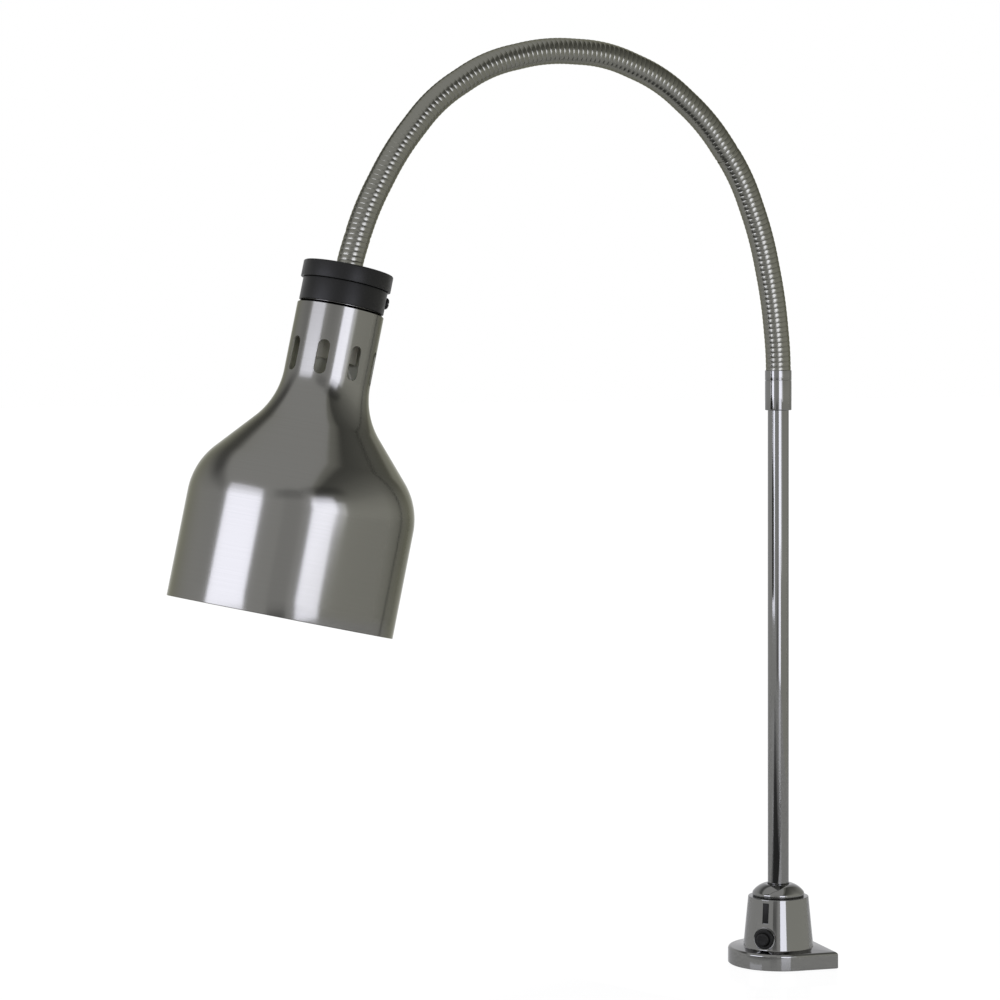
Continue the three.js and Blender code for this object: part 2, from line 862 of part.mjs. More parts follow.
// Upright slots with round ends, cut from the axis out through the neck.
function ventSlots() {
  const outline = new THREE.Shape();
  const half = slotWidth / 2;
  const reach = slotLength / 2 - half;
  outline.absarc(0, reach, half, 0, Math.PI, false);
  outline.absarc(0, -reach, half, Math.PI, 2 * Math.PI, false);
  const middle = capFoot - slotDrop - slotLength / 2;
  return Array.from({ length: slotCount }, (_, i) => {
    const slot = new THREE.ExtrudeGeometry(outline, {
      depth: neckRadius,
      bevelEnabled: false,
      curveSegments: smallSides / 2,
    });
    slot.rotateZ(radians(90)).translate(0, 0, half);
    return outward(slot, headBearing(slotBearing + i * slotPitch), middle);
  });
}

function socketBracket() {
  const plate = turned([
    [nippleRadius + gap, -bracketTop - bracketThickness],
    [bracketRadius, -bracketTop - bracketThickness],
    [bracketRadius, -bracketTop],
    [nippleRadius + gap, -bracketTop],
  ], pipeSides);
  return cut(plate, ...socketScrewHoles());
}

const socketScrewPlaces = [-1, 1].map((side) => side * socketScrewOffset);

const socketScrewHoles = () =>
  socketScrewPlaces.map((y) =>
    rod(socketScrewRadius + gap, -bracketTop - bracketThickness - socketScrewLength, 0).translate(
      0,
      y,
      0,
    ),
  );

function socketBody() {
  const floor = -socketTop - socketFloor;
  const foot = -socketTop - socketHeight;
  const cavity = socketRadius - socketWall;
  const body = turned([
    [0, floor],
    [cavity, floor],
    [cavity, foot],
    [socketRadius, foot],
    [socketRadius, -socketTop - socketChamfer],
    [socketRadius - socketChamfer, -socketTop],
    [0, -socketTop],
  ], pipeSides);
  const leadHole = rod(nippleRadius, -socketTop - socketFloor / 2, 0, pipeSides);
  return cut(body, leadHole, ...socketScrewHoles());
}

const socketShell = () => {
  const outer = socketRadius - socketWall - gap;
  const top = -socketTop - socketFloor - gap;
  return pipe(outer, outer - shellThickness, top - shellHeight, top);
};

const socketTab = () => {
  const top = -socketTop - socketFloor - gap;
  return rod(tabRadius, top - tabThickness, top, pipeSides);
};

function socketScrew(y) {
  const screw = panScrew(
    socketScrewRadius,
    socketScrewLength,
    socketScrewHeadRadius,
    socketScrewHeadHeight,
  );
  return moved(screw, (geometry) => geometry.translate(0, y, -bracketTop + gap));
}

// A lead through the upper nipple, down to the socket.
const lampLead = (side) =>
  rod(leadRadius, 0, leadLength, wireSides).translate(
    0,
    side * leadOffset,
    -socketTop - socketFloor / 2 + gap,
  );

// Bulb. Its outlines go up from the face, so depths count down from the contact.
const bulbAt = (depth) => -bulbTop - depth;

function bulbGlassLine(inset) {
  return [
    [bulbFaceRadius, bulbAt(bulbFaceDepth - inset)],
    [bulbBrimRadius - inset / 2, bulbAt(bulbBrimDepth - inset)],
    [bulbRadius - inset, bulbAt(bulbWaistDepth)],
    [bulbShoulderRadius - inset, bulbAt(bulbShoulderDepth)],
    [bulbBellRadius - inset, bulbAt(bulbBellDepth)],
    [bulbThroatRadius - inset, bulbAt(bulbThroatDepth)],
    [bulbNeckRadius - inset, bulbAt(bulbNeckDepth)],
    [bulbTailRadius - inset, bulbAt(bulbCapLength + gap)],
    [bulbTailRadius - inset, bulbAt(bulbTailDepth)],
  ];
}

const bulbEnvelope = () =>
  turned([
    [0, bulbAt(bulbLength)],
    ...bulbGlassLine(0),
    ...bulbGlassLine(bulbGlass).reverse(),
    [0, bulbAt(bulbLength - bulbGlass)],
  ], pipeSides);

function bulbScrewCap() {
  const inner = bulbCapRadius - bulbCapWall;
  const crown = bulbContactThickness + gap;
  return turned([
    [bulbCapCrownRadius - bulbCapWall, bulbAt(crown + bulbCapWall)],
    [inner, bulbAt(crown + bulbCapCrown)],
    [inner, bulbAt(bulbCapLength)],
    [bulbCapRadius, bulbAt(bulbCapLength)],
    [bulbCapRadius, bulbAt(crown + bulbCapCrown)],
    [bulbCapCrownRadius, bulbAt(crown)],
    [bulbCapCrownRadius - bulbCapWall, bulbAt(crown)],
  ], pipeSides);
}

function bulbContact() {
  const buttonFoot = bulbAt(bulbContactThickness);
  const plugFoot = bulbAt(2 * bulbContactThickness);
  const plugRadius = bulbCapCrownRadius - bulbCapWall - gap;
  return join(
    rod(bulbContactRadius, buttonFoot, bulbAt(0), pipeSides),
    rod(plugRadius, plugFoot, bulbAt(bulbContactThickness / 2), pipeSides),
  );
}

const stemEnd = bulbAt(bulbTailDepth + gap + stemLength);

function bulbStem() {
  const flareTop = bulbTailDepth + gap;
  const flareFoot = flareTop + stemFlareThickness;
  return turned([
    [0, stemEnd],
    [stemRadius, stemEnd],
    [stemRadius, bulbAt(flareFoot + stemRadius)],
    [stemFlareRadius, bulbAt(flareFoot)],
    [stemFlareRadius, bulbAt(flareTop)],
    [0, bulbAt(flareTop)],
  ], pipeSides);
}

// The lead-in wires and the coil between them, as one wire below the stem.
function bulbFilament() {
  const start = stemEnd - gap - filamentRadius;
  const ring = start - (filamentDrop * 2) / 3;
  const path = new THREE.CatmullRomCurve3([
    new THREE.Vector3(0, stemRadius / 2, start),
    new THREE.Vector3(0, filamentSpread, ring),
    new THREE.Vector3(0, 0, start - filamentDrop),
    new THREE.Vector3(0, -filamentSpread, ring),
    new THREE.Vector3(0, -stemRadius / 2, start),
  ]);
  const section = new THREE.Shape();
  section.absarc(0, 0, filamentRadius, 0, 2 * Math.PI, false);
  return new THREE.ExtrudeGeometry(section, {
    extrudePath: path,
    steps: pipeSides,
    curveSegments: hexSides / 2,
    bevelEnabled: false,
  });
}

function buildHead() {
  const head = new THREE.Group();
  const nippleTop = upperNippleRise;
  const nutTop = collarTop - capWebThickness - gap;
  head.add(piece("cap_lid", capLid(), blackPlastic()));
  head.add(piece("cap_collar", capCollar(), blackPlastic()));
  head.add(
    piece(
      "hose_nipple_upper",
      pipe(nippleRadius, nippleRadius - nippleWall, nippleTop - upperNippleLength, nippleTop),
      zincSteel(),
    ),
  );
  head.add(
    piece(
      "cap_lock_nut",
      nut(capNutAcrossFlats, nippleRadius + gap, nutTop - capNutThickness, nutTop),
      zincSteel(),
    ),
  );
  head.add(piece("shade_bell", shell(bellLine), spunAluminium()));
  head.add(piece("shade_neck", shadeNeck(), spunAluminium()));
  head.add(piece("shade_screw", shadeScrew(), blackPlastic()));
  head.add(piece("socket_bracket", socketBracket(), zincSteel()));
  head.add(piece("socket_body", socketBody(), porcelain()));
  head.add(piece("socket_shell", socketShell(), brass()));
  head.add(piece("socket_tab", socketTab(), brass()));
  socketScrewPlaces.forEach((y, i) => {
    head.add(piece("socket_screw_" + (i + 1), socketScrew(y), zincSteel()));
    head.add(piece("lamp_lead_" + (i + 1), lampLead(Math.sign(y)), leadCover()));
  });
  head.add(piece("bulb_glass", bulbEnvelope(), bulbFrosted()));
  head.add(piece("bulb_screw_cap", bulbScrewCap(), brass()));
  head.add(piece("bulb_contact", bulbContact(), brass()));
  head.add(piece("bulb_stem", bulbStem(), bulbFrosted()));
  head.add(piece("bulb_filament", bulbFilament(), tungsten()));
  return head;
}

const lamp = new THREE.Group();
lamp.add(buildBase(), buildPost());
const { hose, end } = buildHose();
lamp.add(hose);
const head = buildHead();
head.rotation.y = Math.PI; // the hose runs down into the cap
end.add(head);

export default lamp;
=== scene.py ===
# %% [markdown]
# # A gooseneck heat lamp
# The lamp is a small chromed base with a push switch, an upright tube, a flexible metal
# hose and a spun metal shade over a reflector bulb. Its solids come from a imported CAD
# model, which fixes every size and every joint. This file gives the lamp its visible
# surfaces: rounder pieces where the plain solids would show flats, and a material made of
# nodes for each finish. Lengths are given in millimetres, as on a drawing, and turned
# into metres with MM.

# %% Load the frame
import json
import math

import bmesh
import bpy
from mathutils import Matrix, Vector

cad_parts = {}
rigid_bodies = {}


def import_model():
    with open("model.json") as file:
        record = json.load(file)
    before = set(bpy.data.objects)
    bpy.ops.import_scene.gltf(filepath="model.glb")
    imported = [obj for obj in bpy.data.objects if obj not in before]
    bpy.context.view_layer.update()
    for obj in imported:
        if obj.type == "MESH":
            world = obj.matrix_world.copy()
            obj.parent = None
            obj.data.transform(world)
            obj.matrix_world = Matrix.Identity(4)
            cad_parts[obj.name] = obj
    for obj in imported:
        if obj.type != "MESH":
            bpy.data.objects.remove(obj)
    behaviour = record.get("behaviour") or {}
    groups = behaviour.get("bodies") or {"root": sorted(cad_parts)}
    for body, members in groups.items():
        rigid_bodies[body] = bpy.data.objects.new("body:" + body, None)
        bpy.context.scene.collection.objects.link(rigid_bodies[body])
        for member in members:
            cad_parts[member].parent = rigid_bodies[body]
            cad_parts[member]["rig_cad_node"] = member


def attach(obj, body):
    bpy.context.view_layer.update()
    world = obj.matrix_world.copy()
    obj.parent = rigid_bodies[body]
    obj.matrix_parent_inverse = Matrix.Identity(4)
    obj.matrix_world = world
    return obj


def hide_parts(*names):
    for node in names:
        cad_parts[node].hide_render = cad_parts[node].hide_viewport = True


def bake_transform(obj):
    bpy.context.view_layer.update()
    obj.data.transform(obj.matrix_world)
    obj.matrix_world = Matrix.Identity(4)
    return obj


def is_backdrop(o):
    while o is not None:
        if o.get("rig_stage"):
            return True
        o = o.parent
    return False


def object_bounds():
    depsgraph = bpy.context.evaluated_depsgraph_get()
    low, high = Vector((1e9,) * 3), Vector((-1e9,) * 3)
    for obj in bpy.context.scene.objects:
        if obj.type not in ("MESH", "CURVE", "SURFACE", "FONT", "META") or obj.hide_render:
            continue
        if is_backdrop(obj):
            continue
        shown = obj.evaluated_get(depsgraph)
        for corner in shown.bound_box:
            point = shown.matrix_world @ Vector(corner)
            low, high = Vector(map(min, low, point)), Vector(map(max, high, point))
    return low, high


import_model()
cad_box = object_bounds()
scene = bpy.context.scene
MM = 0.001

# %% [markdown]
# ## Camera
# A photograph fixes a camera once three things on the object are known: where one point
# falls, how long a known length looks, and which way an upright leans. A long lens from
# far off was used here, so the post shows no taper. The camera is set by the three turns a
# photographer makes on a tripod: round the lamp, down at it, and a slight lean.

# %% Place the camera
AROUND = math.radians(-25.60)
DOWN = math.radians(2.63)
LEAN = math.radians(-0.245)
STAND = Vector((-1252.47, -2092.32, 489.46)) * MM
LENS = 108
FILM = 36

camera_data = bpy.data.cameras.new("camera")
camera_data.lens = LENS
camera_data.sensor_width = FILM
camera = bpy.data.objects.new("camera", camera_data)
camera.matrix_world = (
    Matrix.Translation(STAND)
    @ Matrix.Rotation(AROUND, 4, "Z")
    @ Matrix.Rotation(math.pi / 2 - DOWN, 4, "X")
    @ Matrix.Rotation(LEAN, 4, "Z")
)
scene.collection.objects.link(camera)
scene.camera = camera
print("camera at", [round(c, 3) for c in camera.location])

# %% [markdown]
# ## Studio
# Polished metal has hardly a colour of its own: it shows what stands round it. The
# photographer's room is therefore part of the finish. Two tall stacks of soft boxes give
# the two pale stripes on every round piece, and grey gauzes give the darker patches above
# and between them. The page behind is white, which comes from the world's colour as the
# camera and the metal see it, not from more light.

# %% World
scene.view_settings.view_transform = "Standard"
WHITE = (1, 1, 1, 1)
ROOM_LEVEL = 0.6


def reckon(tree, operation, *values):
    """A maths node. Each value is a number, or a socket to take it from."""
    node = tree.nodes.new("ShaderNodeMath")
    node.operation = operation
    for socket, value in zip(node.inputs, values):
        if isinstance(value, (int, float)):
            socket.default_value = value
        else:
            tree.links.new(value, socket)
    return node.outputs[0]


def eye_mask(tree):
    """A mask that is 1 for rays from the camera, from a gloss and through glass."""
    path = tree.nodes.new("ShaderNodeLightPath")
    mask = path.outputs["Is Camera Ray"]
    for kind in ("Is Glossy Ray", "Is Transmission Ray"):
        mask = reckon(tree, "MAXIMUM", mask, path.outputs[kind])
    return mask


world = bpy.data.worlds.new("studio")
world.use_nodes = True
scene.world = world
sky = world.node_tree
sky.nodes.clear()
page = sky.nodes.new("ShaderNodeBackground")
page.inputs["Color"].default_value = WHITE
room = sky.nodes.new("ShaderNodeBackground")
room.inputs["Color"].default_value = WHITE
room.inputs["Strength"].default_value = ROOM_LEVEL
choose = sky.nodes.new("ShaderNodeMixShader")
world_out = sky.nodes.new("ShaderNodeOutputWorld")
sky.links.new(eye_mask(sky), choose.inputs["Fac"])
sky.links.new(room.outputs[0], choose.inputs[1])
sky.links.new(page.outputs[0], choose.inputs[2])
sky.links.new(choose.outputs[0], world_out.inputs["Surface"])

# %% [markdown]
# The floor is a pale glossy card that runs out of the picture. Most of what the camera sees
# of it is its own white, and the rest is the light that falls on it, so it melts into the
# page but still carries a faint shadow of the lamp. The metal sees more of the card's gloss,
# because at a low angle the card mirrors the soft boxes into the foot of the lamp.

# %% Floor
FLOOR_SIZE = 60
FLOOR_DROP = -0.0005  # just under the base, so that the two faces never meet
OWN_WHITE = 0.5  # the share of its own white that the camera and the metal see
CAMERA_WHITE = 0.35  # what the camera sees of it on top of that


def stage_plane(name, size, centre, facing, bearing=0.0):
    """A flat card of the studio round centre, its face towards facing, then turned."""
    bm = bmesh.new()
    bm.loops.layers.uv.new("card")
    bmesh.ops.create_grid(bm, x_segments=1, y_segments=1, size=0.5, calc_uvs=True)
    bmesh.ops.scale(bm, vec=(size[0], size[1], 1), verts=bm.verts)
    aim = Vector(facing).to_track_quat("Z", "Y").to_matrix().to_4x4()
    turn = Matrix.Rotation(math.radians(bearing), 4, "Z")
    bm.transform(Matrix.Translation(Vector(centre)) @ turn @ aim)
    mesh = bpy.data.meshes.new(name)
    bm.to_mesh(mesh)
    bm.free()
    card = bpy.data.objects.new(name, mesh)
    scene.collection.objects.link(card)
    card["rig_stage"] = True
    return card


floor = stage_plane("floor", (FLOOR_SIZE, FLOOR_SIZE), (0, 0, FLOOR_DROP), (0, 0, 1))
floor_look = bpy.data.materials.new("pale_floor")
floor_look.use_nodes = True
tree = floor_look.node_tree
lit = tree.nodes["Principled BSDF"]
lit.inputs["Base Color"].default_value = (0.9, 0.9, 0.9, 1)
lit.inputs["Roughness"].default_value = 0.8
lit.inputs["Specular IOR Level"].default_value = 0.0
lit.inputs["Coat Weight"].default_value = 1.0
lit.inputs["Coat Roughness"].default_value = 0.04
white = tree.nodes.new("ShaderNodeEmission")
white.inputs["Strength"].default_value = 1.08
camera_ray = tree.nodes.new("ShaderNodeLightPath").outputs["Is Camera Ray"]
own = reckon(tree, "MULTIPLY", eye_mask(tree), OWN_WHITE)
share = reckon(tree, "MULTIPLY_ADD", camera_ray, CAMERA_WHITE, own)
blend = tree.nodes.new("ShaderNodeMixShader")
tree.links.new(share, blend.inputs["Fac"])
tree.links.new(lit.outputs[0], blend.inputs[1])
tree.links.new(white.outputs[0], blend.inputs[2])
tree.links.new(blend.outputs[0], tree.nodes["Material Output"].inputs["Surface"])
floor.data.materials.append(floor_look)
print("floor and world stand")

# %% [markdown]
# The soft boxes are area lamps, so they cast soft shadows. Each is placed by the stripe
# that it leaves: the stripe's place on the shade gives its bearing, the stripe's width gives
# its width, and the places where the stripe ends on the shoulder and on the post give its
# top and its foot. A stripe fades towards both ends, so a stack of boxes makes it, weaker
# above and below. Boxes and gauzes are hidden from the camera, because some stand between
# it and the lamp.

# %% Soft boxes
SHADE_MIDDLE = Vector((-0.42, 0, 0.40))
BOX_COLOR = (0.84, 0.85, 1.0)
LEFT = (-1.39, -0.17)
RIGHT = (-0.36, -1.58)


def soft_box(name, width, low, high, centre, power):
    """A soft box that faces the shade, from one height to another."""
    data = bpy.data.lights.new(name, "AREA")
    data.shape = "RECTANGLE"
    data.size = width
    data.size_y = high - low
    data.energy = power * width * (high - low)
    data.color = BOX_COLOR
    lamp = bpy.data.objects.new(name, data)
    place = Vector((*centre, (low + high) / 2))
    away = place - SHADE_MIDDLE
    away.z = 0
    turn = away.to_track_quat("Z", "Y").to_matrix().to_4x4()
    lamp.matrix_world = Matrix.Translation(place) @ turn
    lamp.visible_camera = False
    scene.collection.objects.link(lamp)


# The power is given per square metre, so a box keeps its brightness when it is resized.
soft_box("left_box_foot", 0.74, 0.20, 0.36, LEFT, 10.5)
soft_box("left_soft_box", 0.74, 0.36, 0.70, LEFT, 15.0)
soft_box("left_box_upper", 0.74, 0.70, 0.80, LEFT, 11.5)
soft_box("left_box_top", 0.74, 0.80, 0.93, LEFT, 7.5)
soft_box("right_box_foot", 0.62, 0.02, 0.36, (-0.40, -1.58), 12.5)
soft_box("right_soft_box", 0.70, 0.36, 0.80, RIGHT, 15.0)
soft_box("right_box_upper", 0.66, 0.80, 0.97, RIGHT, 10.0)
soft_box("right_box_top", 0.60, 0.97, 1.07, RIGHT, 5.0)
soft_box("right_box_side", 0.30, 0.30, 0.84, (0.13, -1.57), 4.8)

# %% [markdown]
# What stands between the boxes dims the white page in the metal. Here it is gauze: a card
# that only a gloss sees, and that lets through a share of what lies behind it. The share is
# graded from the gauze's foot to its top and from its left end to its right end, so one card
# gives a wall that fades into the dark, and two that overlap add up. Each grading lists
# places in metres and how dark the gauze is there; its first and last place are also where
# the gauze ends.

# %% Gauze
NO_TINT = (1.0, 1.0, 1.0)


def gauze_look(name, up, along, tint):
    """The material of a gauze that holds back up times along."""
    look = bpy.data.materials.new(name)
    look.use_nodes = True
    tree = look.node_tree
    tree.nodes.clear()
    where = tree.nodes.new("ShaderNodeUVMap")
    where.uv_map = "card"
    parts = tree.nodes.new("ShaderNodeSeparateXYZ")
    tree.links.new(where.outputs["UV"], parts.inputs[0])
    graded = []
    for axis, stops in (("Y", up), ("X", along)):
        low, high = stops[0][0], stops[-1][0]
        stops = [((at - low) / (high - low), depth) for at, depth in stops]
        ramp = tree.nodes.new("ShaderNodeValToRGB")
        spots = ramp.color_ramp.elements
        for share, depth in stops[1:-1]:
            spots.new(share)
        for spot, (share, depth) in zip(spots, stops):
            spot.color = (depth, depth, depth, 1)
        tree.links.new(parts.outputs[axis], ramp.inputs["Fac"])
        graded.append(ramp.outputs["Color"])
    through = reckon(tree, "SUBTRACT", 1, reckon(tree, "MULTIPLY", *graded))
    dye = tree.nodes.new("ShaderNodeMix")
    dye.data_type = "RGBA"
    dye.inputs["A"].default_value = (0, 0, 0, 1)
    dye.inputs["B"].default_value = (*tint, 1)
    tree.links.new(through, dye.inputs["Factor"])
    clear = tree.nodes.new("ShaderNodeBsdfTransparent")
    tree.links.new(dye.outputs["Result"], clear.inputs["Color"])
    out = tree.nodes.new("ShaderNodeOutputMaterial")
    tree.links.new(clear.outputs[0], out.inputs["Surface"])
    return look


def hang(sheet, look):
    """Gives a gauze its material and hides it from all but a gloss."""
    sheet.data.materials.append(look)
    sheet.visible_camera = False
    sheet.visible_diffuse = False
    sheet.visible_shadow = False


def gauze(name, bearing, distance, up, along, tint=NO_TINT, origin=SHADE_MIDDLE):
    """A standing gauze at a bearing from -Y toward +X. Along runs to the camera's right."""
    ends = along[0][0], along[-1][0]
    heights = up[0][0], up[-1][0]
    turn = math.radians(bearing)
    away = Vector((math.sin(turn), -math.cos(turn), 0))
    side = Vector((math.cos(turn), math.sin(turn), 0))
    centre = origin + away * distance + side * sum(ends) / 2
    centre.z = sum(heights) / 2
    size = (ends[1] - ends[0], heights[1] - heights[0])
    hang(stage_plane(name, size, centre, away), gauze_look(name, up, along, tint))


gauze(
    "right_wall", 66, 1.15,
    (
        (-0.05, 0.0), (0.48, 0.02), (0.73, 0.18), (0.90, 0.37), (1.18, 0.55), (1.60, 0.70),
        (2.20, 0.80), (2.40, 0.60), (2.60, 0.45), (3.10, 0.40), (3.20, 0.0),
    ),
    ((-3.6, 0.0), (-3.0, 1.0), (1.4, 1.0), (1.6, 0.0)),
    tint=(1.0, 1.0, 0.92),
)
gauze(
    "left_wall", -172, 1.3,
    (
        (-0.05, 0.0), (0.65, 0.0), (0.95, 0.16), (1.14, 0.44), (1.32, 0.70), (1.58, 0.74),
        (1.82, 0.38), (2.00, 0.0),
    ),
    ((-1.2, 1.0), (0.9, 1.0), (1.5, 0.65), (2.6, 0.35), (2.8, 0.0)),
)
gauze(
    "dark_shelf", 3, 1.5,
    ((1.06, 0.0), (1.22, 0.5), (1.46, 0.5), (1.64, 0.0)),
    ((-0.7, 0.0), (-0.3, 0.8), (0.5, 1.0), (0.9, 0.0)),
)
gauze(
    "camera_side", -41.5, 1.6,
    (
        (-0.05, 0.0), (0.02, 0.0), (0.05, 0.6), (0.15, 0.6), (0.22, 0.5), (0.30, 0.22),
        (0.42, 0.12), (1.2, 0.10), (1.4, 0.0),
    ),
    ((-0.22, 1.0), (0.22, 1.0)),
    origin=Vector((0, 0, 0)),
)
gauze(
    "box_gap", -24, 1.45,
    ((0.80, 0.0), (0.95, 0.3), (1.20, 0.35), (1.36, 0.0)),
    ((-0.75, 0.0), (-0.5, 1.0), (0.1, 1.0), (0.3, 0.0)),
)
gauze(
    "right_end", 103, 1.2,
    ((-0.05, 0.0), (0.15, 0.25), (0.8, 0.25), (1.2, 0.0)),
    ((-0.6, 0.0), (-0.2, 1.0), (0.3, 1.0), (0.4, 0.0)),
)

# The last one lies on the floor and runs out from the lamp: it darkens the floor that the
# foot of the lamp mirrors.
RUG_SIZE = (0.73, 1.85)
RUG_MIDDLE = (-0.956, -0.525, 0.002)
RUG_BEARING = -71
hang(
    stage_plane("floor_shade", RUG_SIZE, RUG_MIDDLE, (0, 0, 1), RUG_BEARING),
    gauze_look(
        "floor_shade",
        ((0.15, 0.9), (0.6, 0.85), (0.95, 0.6), (1.35, 0.25), (1.6, 0.0), (2.0, 0.0)),
        ((-0.55, 0.0), (-0.36, 0.4), (-0.27, 0.6), (-0.2, 1.0), (0.06, 1.0), (0.18, 0.0)),
        NO_TINT,
    ),
)
print("soft boxes and seven gauzes stand")

# %% [markdown]
# ## Helpers for the mesh work
# Nearly every piece of a lamp is turned on a lathe or spun over a form, so one helper does
# most of the work: it draws half of the cross-section as a wire, rounds the corners that a
# real edge has rounded, and spins the wire round the axis. An outline lists a radius and a
# height for each corner, and a third number where the corner is rounded.

# %% Outline, spin and finish
CREASE = math.radians(32)
WELD = 0.0005 * MM


def round_off(bm, geom, offset, affect, steps):
    """Rounds corners or edges of a bmesh."""
    bmesh.ops.bevel(
        bm,
        geom=geom,
        offset=offset * MM,
        affect=affect,
        segments=steps,
        profile=0.5,
        material=-1,
    )


def turned(outline, sides=96):
    """Spins an outline of (radius, height, rounding) corners round the Z axis."""
    bm = bmesh.new()
    corners = [bm.verts.new((c[0] * MM, 0, c[1] * MM)) for c in outline]
    for a, b in zip(corners, corners[1:]):
        bm.edges.new((a, b))
    if outline[0][0] > 0:
        bm.edges.new((corners[-1], corners[0]))
    for corner, place in zip(corners, outline):
        if len(place) > 2:
            round_off(bm, [corner], place[2], "VERTICES", 4)
    bmesh.ops.spin(
        bm,
        geom=bm.verts[:] + bm.edges[:],
        cent=(0, 0, 0),
        axis=(0, 0, 1),
        angle=math.tau,
        steps=sides,
        use_merge=True,
    )
    bmesh.ops.remove_doubles(bm, verts=bm.verts, dist=WELD)
    return bm


def crease(bm):
    """Marks the sharp edges of a bmesh and smooths the rest."""
    for face in bm.faces:
        face.smooth = True
    for edge in bm.edges:
        sharp = len(edge.link_faces) == 2 and edge.calc_face_angle(0) > CREASE
        edge.smooth = not sharp


def make_object(name, bm, place=None):
    """Makes an object at the origin of a bmesh whose place goes into its mesh."""
    bmesh.ops.recalc_face_normals(bm, faces=bm.faces)
    if place is not None:
        bm.transform(place)
    crease(bm)
    mesh = bpy.data.meshes.new(name)
    bm.to_mesh(mesh)
    bm.free()
    piece = bpy.data.objects.new(name, mesh)
    scene.collection.objects.link(piece)
    return piece


def carve(piece, tools, operation="DIFFERENCE"):
    """Cuts tools out of a piece, or joins them to it, and keeps the result as its mesh."""
    for tool in tools:
        step = piece.modifiers.new("carve", "BOOLEAN")
        step.operation = operation
        step.solver = "EXACT"
        step.object = tool
        depsgraph = bpy.context.evaluated_depsgraph_get()
        carved = bpy.data.meshes.new_from_object(piece.evaluated_get(depsgraph))
        piece.modifiers.clear()
        piece.data = carved
        carved.name = piece.name
        bpy.data.objects.remove(tool)
    bm = bmesh.new()
    bm.from_mesh(piece.data)
    crease(bm)
    bm.to_mesh(piece.data)
    bm.free()


def finish(piece, look, slot, body, *nodes):
    """Gives a piece its material, its body and the solids that it stands for."""
    piece.data.materials.clear()
    piece.data.materials.append(look)
    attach(piece, body)
    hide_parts(*nodes)
    print(piece.name, len(piece.data.polygons), "faces")
    return piece


def outward(bearing, height):
    """The place of a piece made along +Z that points out at a bearing round the Z axis."""
    return (
        Matrix.Translation((0, 0, height * MM))
        @ Matrix.Rotation(math.radians(bearing), 4, "Z")
        @ Matrix.Rotation(math.pi / 2, 4, "Y")
    )


# %% [markdown]
# ## Places
# The base is turned a little from the plane of the arm. The head hangs from the end of the
# hose, so its own axis leans. Each gets a matrix that carries a piece made round the Z axis
# to where it belongs.

# %% Base place and head place
BASE_TURN = -9.5
base_place = Matrix.Rotation(math.radians(BASE_TURN), 4, "Z")
HEAD_LEAN = math.radians(12.5)
HEAD_CENTRE = Vector((-375.410, 0, 560.565)) * MM
head_place = Matrix.Translation(HEAD_CENTRE) @ Matrix.Rotation(HEAD_LEAN, 4, "Y")
print("head axis", [round(c, 4) for c in head_place.to_3x3().col[2]])

# %% [markdown]
# ## Effects that several finishes share
# Three effects come back in many finishes, so each is a node group with its own inputs:
# handling marks make the gloss uneven, grain gives a moulded or cast skin, and lathe lines
# are the fine rings that a tool or a brush leaves round a turned piece.

# %% Node group helpers
def group(name, inputs, outputs):
    """An empty node group with the given sockets. Returns its tree, input and output."""
    tree = bpy.data.node_groups.new(name, "ShaderNodeTree")
    for label, kind, default in inputs:
        socket = tree.interface.new_socket(label, in_out="INPUT", socket_type=kind)
        if default is not None:
            socket.default_value = default
    for label, kind in outputs:
        tree.interface.new_socket(label, in_out="OUTPUT", socket_type=kind)
    return tree, tree.nodes.new("NodeGroupInput"), tree.nodes.new("NodeGroupOutput")


FLOAT = "NodeSocketFloat"
VECTOR = "NodeSocketVector"


def map_range(tree, value, low, high, start=0.0, end=1.0):
    """Maps a value from start..end to low..high. Low and high may be sockets."""
    node = tree.nodes.new("ShaderNodeMapRange")
    node.inputs["From Min"].default_value = start
    node.inputs["From Max"].default_value = end
    tree.links.new(value, node.inputs["Value"])
    for name, limit in (("To Min", low), ("To Max", high)):
        if isinstance(limit, (int, float)):
            node.inputs[name].default_value = limit
        else:
            tree.links.new(limit, node.inputs[name])
    return node.outputs["Result"]


# %% Handling marks
marks, marks_in, marks_out = group(
    "handling_marks",
    [("Vector", VECTOR, None), ("Scale", FLOAT, 30.0), ("Low", FLOAT, 0.1), ("High", FLOAT, 0.2)],
    [("Roughness", FLOAT)],
)
cloudy = marks.nodes.new("ShaderNodeTexNoise")
cloudy.inputs["Detail"].default_value = 6
cloudy.inputs["Roughness"].default_value = 0.62
marks.links.new(marks_in.outputs["Vector"], cloudy.inputs["Vector"])
marks.links.new(marks_in.outputs["Scale"], cloudy.inputs["Scale"])
level = map_range(
    marks, cloudy.outputs["Fac"], marks_in.outputs["Low"], marks_in.outputs["High"], 0.3, 0.72
)
marks.links.new(level, marks_out.inputs["Roughness"])

# %% Grain
grain, grain_in, grain_out = group(
    "grain",
    [("Vector", VECTOR, None), ("Scale", FLOAT, 2000.0), ("Depth", FLOAT, 0.05)],
    [("Normal", VECTOR)],
)
speckle = grain.nodes.new("ShaderNodeTexNoise")
speckle.inputs["Detail"].default_value = 3
grain_bump = grain.nodes.new("ShaderNodeBump")
grain_bump.inputs["Distance"].default_value = 0.0002
grain.links.new(grain_in.outputs["Vector"], speckle.inputs["Vector"])
grain.links.new(grain_in.outputs["Scale"], speckle.inputs["Scale"])
grain.links.new(speckle.outputs["Fac"], grain_bump.inputs["Height"])
grain.links.new(grain_in.outputs["Depth"], grain_bump.inputs["Strength"])
grain.links.new(grain_bump.outputs["Normal"], grain_out.inputs["Normal"])

